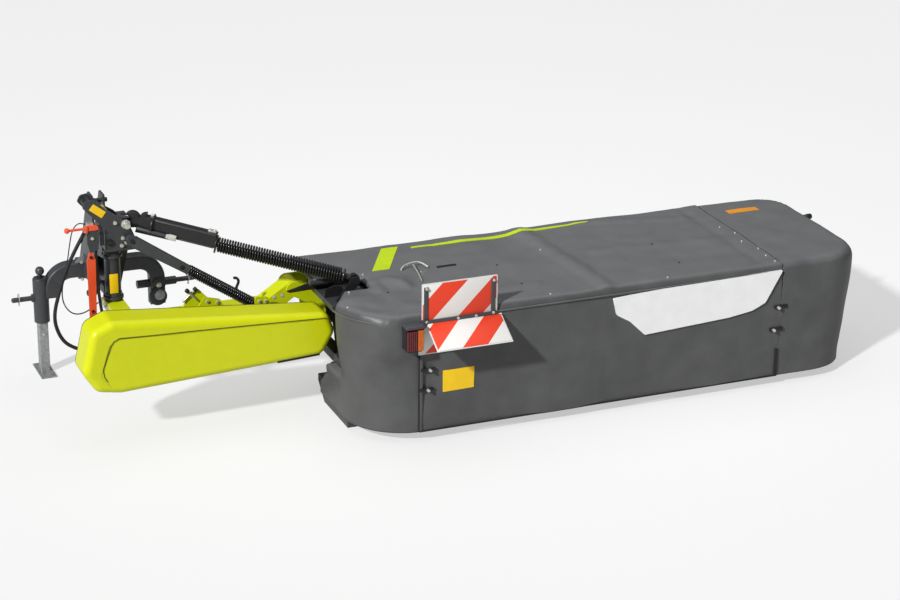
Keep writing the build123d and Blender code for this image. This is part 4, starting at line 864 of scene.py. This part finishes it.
# Column under the mast: the dark kingpin tube between a collar and a rim, with a blank yellow
# label on it and a gusset plate welded behind it.
dress(dark_paint, "kingpin_tube")
soft_box("column_label", (0.246, -0.5875, 0.643), (0.292, -0.5825, 0.752), 0.001, yellow_label, "headstock")
column_x = 0.275
column_y = -0.540
for name, low, top, radius in (("column_collar", 0.604, 0.640, 0.047), ("column_rim", 0.846, 0.872, 0.046)):
    rod(name, (column_x, column_y, low), (column_x, column_y, top), radius, dark_paint, "headstock",
        edge=0.003, sides=40)
gusset = solid_box("gusset", (0.314, -0.452, 0.612), (0.395, -0.440, 0.862))
enter("EDIT")
pick(gusset, "VERT", lambda co: co.z < 0.62 and co.x > 0.39)
bpy.ops.transform.translate(value=(-0.060, 0.0, 0.0))
bevel_edges(gusset, lambda a, b: abs(a.y - b.y) < 0.001, 0.003, 2)
settle(gusset, dark_paint, "headstock")

# Transport lock: a long red steel bar with its pull handle, bolted between the lever arm and a
# dark guide plate. A small hook stands up at its top.
red_paint = finish_material("red_paint", (0.84, 0.095, 0.030), 0.36, spread=0.05, coat=0.1)
dress(red_paint, "lock_lever", "lock_handle")
dress(dark_paint, "lever_arm", "lock_plate")
lever_face = -0.632
lever_bolts = [(0.140, lever_face, 0.880), (0.138, lever_face, 0.575)]
studs("lever_bolts", lever_bolts, (0, -1, 0), 0.009, 0.007, black_paint, "headstock", sides=6)
soft_box("lever_hook", (0.112, lever_face - 0.012, 1.018), (0.128, lever_face, 1.058), 0.004, red_paint,
         "headstock")
studs("plate_bolt", [(0.150, -0.634, 0.985)], (0, -1, 0), 0.010, 0.008, zinc, "headstock", sides=6)

# Headstock: dark painted arch on its right foot with a boss, a light plate bolted over the
# collar, link pins held by zinc linch pins, and the galvanised stand leg in its sleeve.
dress(dark_paint, "tower", "headstock_arch", "lower_link_pins", "top_link_pin", "stand_sleeve")
galvanised = finish_material(
    "galvanised", (0.40, 0.41, 0.41), 0.48, "dark_paint", metal=0.7, spread=0.22, grain=45.0
)
dress(galvanised, "stand_leg")
grey_plate = finish_material("grey_plate", (0.22, 0.225, 0.235), 0.42, "dark_paint", spread=0.06)
plate = solid_box("collar_plate", (0.185, -0.056, 0.640), (0.365, -0.050, 0.690))
enter("EDIT")
pick(plate, "VERT", lambda co: co.z > 0.68 and co.x < 0.2)
bpy.ops.transform.translate(value=(0.045, 0.0, 0.0))
bevel_edges(plate, lambda a, b: abs(a.y - b.y) > 0.005, 0.008, 3)
settle(plate, grey_plate, "headstock")
for name, x, z, rear, front, radius, finish, edge, sides in (
    ("foot_hook", 0.652, 0.380, -0.066, -0.046, 0.052, dark_paint, 0.005, 40),
    ("foot_eye", 0.660, 0.392, -0.072, -0.064, 0.030, galvanised, 0.003, 32),
    ("foot_boss", 0.660, 0.445, -0.050, -0.038, 0.040, dark_paint, 0.004, 32),
    ("foot_pin", 0.660, 0.445, -0.058, -0.046, 0.016, zinc, 0.003, 24),
):
    rod(name, (x, rear, z), (x, front, z), radius, finish, "headstock", edge=edge, sides=sides)
ring_z = 0.454
ring_r = 0.024
turns = [math.radians(a) for a in range(0, 361, 20)]
for number, x in enumerate((-0.125, 0.845), 1):
    line_tube("linch_%d" % number, [(x, 0.0, 0.478), (x, 0.0, 0.410)], 0.0045, zinc, "headstock")
    ring = [(x, ring_r * math.sin(a), ring_z + ring_r * math.cos(a)) for a in turns]
    line_tube("linch_ring_%d" % number, ring, 0.0022, zinc, "headstock")
collar_bolts = [(x, -0.0505, z) for x in (0.225, 0.325) for z in (0.640, 0.540)]
studs("collar_bolts", collar_bolts, (0, -1, 0), 0.010, 0.008, zinc, "headstock", sides=6)
rod("knob_ball_base", (0.0, 0.0, 0.560), (0.0, 0.0, 0.572), 0.017, black_paint, "headstock", edge=0.003)
rod("leg_pin", (0.0, -0.034, 0.231), (0.0, 0.034, 0.231), 0.006, zinc, "stand")

# Control lines: a thin black cable in a loop beside the lock lever, another hanging down from
# the mast, and a thicker rubber hose clipped along the lever. Both ends of each are held.
cable_loop = [
    (0.150, -0.420, 0.905), (0.060, -0.420, 0.800), (0.025, -0.420, 0.652), (0.024, -0.420, 0.566),
    (0.057, -0.420, 0.504), (0.105, -0.420, 0.480), (0.167, -0.430, 0.500), (0.215, -0.440, 0.545),
]
line_tube("cable_loop", cable_loop, 0.0035, black_rubber, "headstock", kind="NURBS")
upper_cable = [
    (0.190, -0.560, 1.020), (0.128, -0.560, 1.044), (0.096, -0.560, 1.054), (0.062, -0.560, 1.019),
    (0.045, -0.560, 0.940), (0.033, -0.560, 0.866), (0.025, -0.560, 0.833), (0.040, -0.500, 0.740),
]
line_tube("cable_upper", upper_cable, 0.0030, black_rubber, "headstock", kind="NURBS")
side_hose = [
    (0.190, -0.604, 1.045), (0.178, -0.618, 1.010), (0.172, -0.622, 0.930), (0.166, -0.622, 0.854),
    (0.172, -0.622, 0.740), (0.178, -0.620, 0.638), (0.190, -0.612, 0.560),
]
line_tube("side_hose", side_hose, 0.0085, black_rubber, "headstock", kind="NURBS")

# Return hose: black rubber, 20 mm thick, hanging in one bow beside the stand. It is held at both
# ends, in the hose blocks, and a zinc ferrule is crimped on its upper end.
dress(zinc, "hose_blocks")
hose_y = -0.598
hose_points = [
    (0.118, 1.010), (0.029, 0.863), (-0.030, 0.700), (-0.069, 0.560), (-0.045, 0.450), (0.010, 0.375),
    (0.092, 0.342),
]
hose_curve = bpy.data.curves.new("return_hose_line", "CURVE")
hose_curve.dimensions = "3D"
hose_curve.bevel_depth = 0.010
hose_curve.bevel_resolution = 4
hose_curve.resolution_u = 16
hose_line = hose_curve.splines.new("NURBS")
hose_line.points.add(len(hose_points) - 1)
for point, (x, z) in zip(hose_line.points, hose_points):
    point.co = (x, hose_y, z, 1.0)
hose_line.order_u = 3
hose_line.use_endpoint_u = True
hose = bpy.data.objects.new("hose", hose_curve)
bpy.context.scene.collection.objects.link(hose)
hose.data.materials.append(black_rubber)
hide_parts("return_hose")
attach(hose, "headstock")
rod("hose_ferrule_top", (0.118, hose_y, 1.010), (0.1325, hose_y, 1.0339), 0.0135, zinc, "headstock",
    edge=0.002)


# Boom: lime brackets of folded plate bolted under and behind the belt guard, silver bars with
# black knobs, and a black hook toward the hinge. The unit's own bracket is a shade greener.
lime_paint = finish_material("lime_paint", (0.56, 0.62, 0.003), 0.36, spread=0.04, coat=0.1)
dress(lime_paint, "boom_beam", "boom_brackets", "swing_fork")
bracket_paint = finish_material("bracket_paint", (0.56, 0.65, 0.003), 0.36, spread=0.05, coat=0.1)
dress(bracket_paint, "unit_bracket")
dress(black_paint, "tongue_plates")
for name, outline, face_y, thick, edge in (
    ("boom_plate_1", [(0.667, 0.569), (0.707, 0.632), (0.796, 0.609), (0.828, 0.547)], -0.782, 0.008, 0.008),
    ("boom_plate_2", [(0.973, 0.534), (0.991, 0.601), (1.059, 0.591), (1.081, 0.525)], -0.802, 0.010, 0.006),
):
    leaf = outline_plate(name, outline, face_y, thick)
    bevel_edges(leaf, lambda a, b: abs(a.y - b.y) > thick * 0.5, edge, 3)
    settle(leaf, lime_paint, "boom")
plate_bolts = [(0.725, -0.782, 0.605), (0.780, -0.782, 0.592), (1.010, -0.802, 0.575), (1.045, -0.802, 0.570)]
studs("boom_plate_bolts", plate_bolts, (0, -1, 0), 0.010, 0.008, zinc, "boom", sides=6)
for name, y, start, end, radius, finish, edge in (
    ("boom_bar", -0.725, (0.604, 0.597), (0.684, 0.668), 0.006, zinc, 0.002),
    ("boom_bar_2", -0.733, (0.622, 0.668), (0.676, 0.604), 0.0055, zinc, 0.002),
    ("boom_knob", -0.725, (0.668, 0.654), (0.684, 0.668), 0.013, black_rubber, 0.004),
    ("boom_knob_2", -0.733, (0.622, 0.668), (0.636, 0.652), 0.012, black_rubber, 0.004),
):
    rod(name, (start[0], y, start[1]), (end[0], y, end[1]), radius, finish, "boom", edge=edge)
s_hook = [
    (0.870, -0.790, 0.722), (0.882, -0.790, 0.724), (0.895, -0.790, 0.714), (0.899, -0.790, 0.699),
    (0.894, -0.790, 0.684), (0.886, -0.790, 0.670), (0.885, -0.790, 0.652),
]
line_tube("s_hook", s_hook, 0.0075, black_paint, "boom", kind="NURBS")
bracket_bolts = [(1.060, -0.9075, 0.630), (1.105, -0.9075, 0.636)]
studs("bracket_bolts", bracket_bolts, (0, -1, 0), 0.012, 0.010, zinc, "boom", sides=6)

# Belt guard: one smooth moulded lime shell over the belt, with a dark line of painted shade along
# the groove in its face and a thin dark lip below it. The black back plate shows past its edge.
guard_paint = finish_material("guard_paint", (0.62, 0.66, 0.002), 0.40, spread=0.02, coat=0.08)
dress(guard_paint, "belt_cover")
dress(black_paint, "belt_back")
# A dark olive tube along the groove's path: painted shade in the groove's recess.
groove_shade = finish_material("groove_shade", (0.10, 0.11, 0.002), 0.6, "lime_paint", spread=0.05)
groove_y = -1.1402
groove = [
    (0.078, 0.378), (0.060, 0.408), (0.054, 0.450), (0.103, 0.578), (0.116, 0.598), (0.145, 0.609),
    (0.580, 0.595), (1.007, 0.578), (1.270, 0.566),
]
line_tube("guard_groove_shade", [(x, groove_y, z) for x, z in groove], 0.0028, groove_shade, "boom")
guard_lip = [(1.000, -1.128, 0.349), (1.130, -1.128, 0.355), (1.235, -1.128, 0.361)]
line_tube("guard_lip", guard_lip, 0.007, black_paint, "boom")


# Floor: a pale matt studio floor that keeps the machine's soft shadow. A share of it is plain
# white to the camera's own rays alone, so that it is as bright as the photo's ground.
bpy.ops.mesh.primitive_plane_add(size=60.0, location=(2.0, 0.0, -0.001))
floor = bpy.context.object
floor.name = "floor"
floor_look = finish_material("floor_look", (0.62, 0.62, 0.62), 0.95, spread=0.004, grain=0.5)
floor_tree = floor_look.node_tree
link = floor_tree.links.new
glow_strength = 1.47
glow_share = 0.36
floor_glow = add_node(floor_tree, "Emission", Color=(1.0, 1.0, 1.0, 1.0), Strength=glow_strength)
floor_ray = add_node(floor_tree, "LightPath")
floor_share = add_node(floor_tree, "Math", "MULTIPLY")
floor_share.inputs[1].default_value = glow_share
link(floor_ray.outputs["Is Camera Ray"], floor_share.inputs[0])
floor_mix = add_node(floor_tree, "MixShader")
link(floor_share.outputs["Value"], floor_mix.inputs["Fac"])
link(floor_tree.nodes["Principled BSDF"].outputs["BSDF"], floor_mix.inputs[1])
link(floor_glow.outputs["Emission"], floor_mix.inputs[2])
link(floor_mix.outputs["Shader"], floor_tree.nodes["Material Output"].inputs["Surface"])
floor.data.materials.append(floor_look)

# Backdrop and light: a pale backdrop for the camera and a weak sky for the object, one soft sun
# from behind the camera's left shoulder, and a large square light overhead.
world = bpy.data.worlds.new("studio")
bpy.context.scene.world = world
world.use_nodes = True
sky = world.node_tree
link = sky.links.new
sky_strength = 0.16
backdrop_shade = 0.93
ambient = sky.nodes["Background"]
ambient.inputs["Color"].default_value = (0.97, 0.98, 1.0, 1.0)
ambient.inputs["Strength"].default_value = sky_strength
pale = add_node(sky, "Background", Color=(backdrop_shade, backdrop_shade, backdrop_shade, 1.0), Strength=1.0)
sky_mix = add_node(sky, "MixShader")
sky_ray = add_node(sky, "LightPath")
link(sky_ray.outputs["Is Camera Ray"], sky_mix.inputs["Fac"])
link(ambient.outputs["Background"], sky_mix.inputs[1])
link(pale.outputs["Background"], sky_mix.inputs[2])
link(sky_mix.outputs["Shader"], sky.nodes["World Output"].inputs["Surface"])

bpy.ops.object.light_add(type="SUN", location=(-2.0, -3.0, 5.0))
sun = bpy.context.object
sun.name = "sun"
sun.data.energy = 3.7
sun.data.angle = math.radians(3.5)
sun.rotation_euler = Vector((0.70, 0.44, -0.56)).to_track_quat("-Z", "Y").to_euler()

bpy.ops.object.light_add(type="AREA", location=(2.0, -0.5, 5.5))
overhead = bpy.context.object
overhead.name = "overhead"
overhead.data.shape = "SQUARE"
overhead.data.size = 6.0
overhead.data.energy = 110.0

# Camera: fitted to the edges of the covers and the guard in the photograph, high behind the
# machine's left end, with a long lens and a slight lean.
pan = math.radians(-22.5967)
pitch = math.radians(21.3316)
lean = math.radians(0.7079)
back = Vector((math.sin(pan) * math.cos(pitch), -math.cos(pan) * math.cos(pitch), math.sin(pitch)))
right = (-back).cross(Vector((0.0, 0.0, 1.0))).normalized()
up = right.cross(-back)
right_leaned = right * math.cos(lean) + up * math.sin(lean)
up_leaned = up * math.cos(lean) - right * math.sin(lean)
bpy.ops.object.camera_add(location=(-2.6784, -12.3333, 5.3060))
camera = bpy.context.object
camera.name = "camera"
camera.rotation_euler = Matrix((right_leaned, up_leaned, back)).transposed().to_euler()
camera.data.lens = 96.26
camera.data.sensor_width = 36.0
bpy.context.scene.camera = camera
bpy.context.scene.view_settings.view_transform = "Standard"
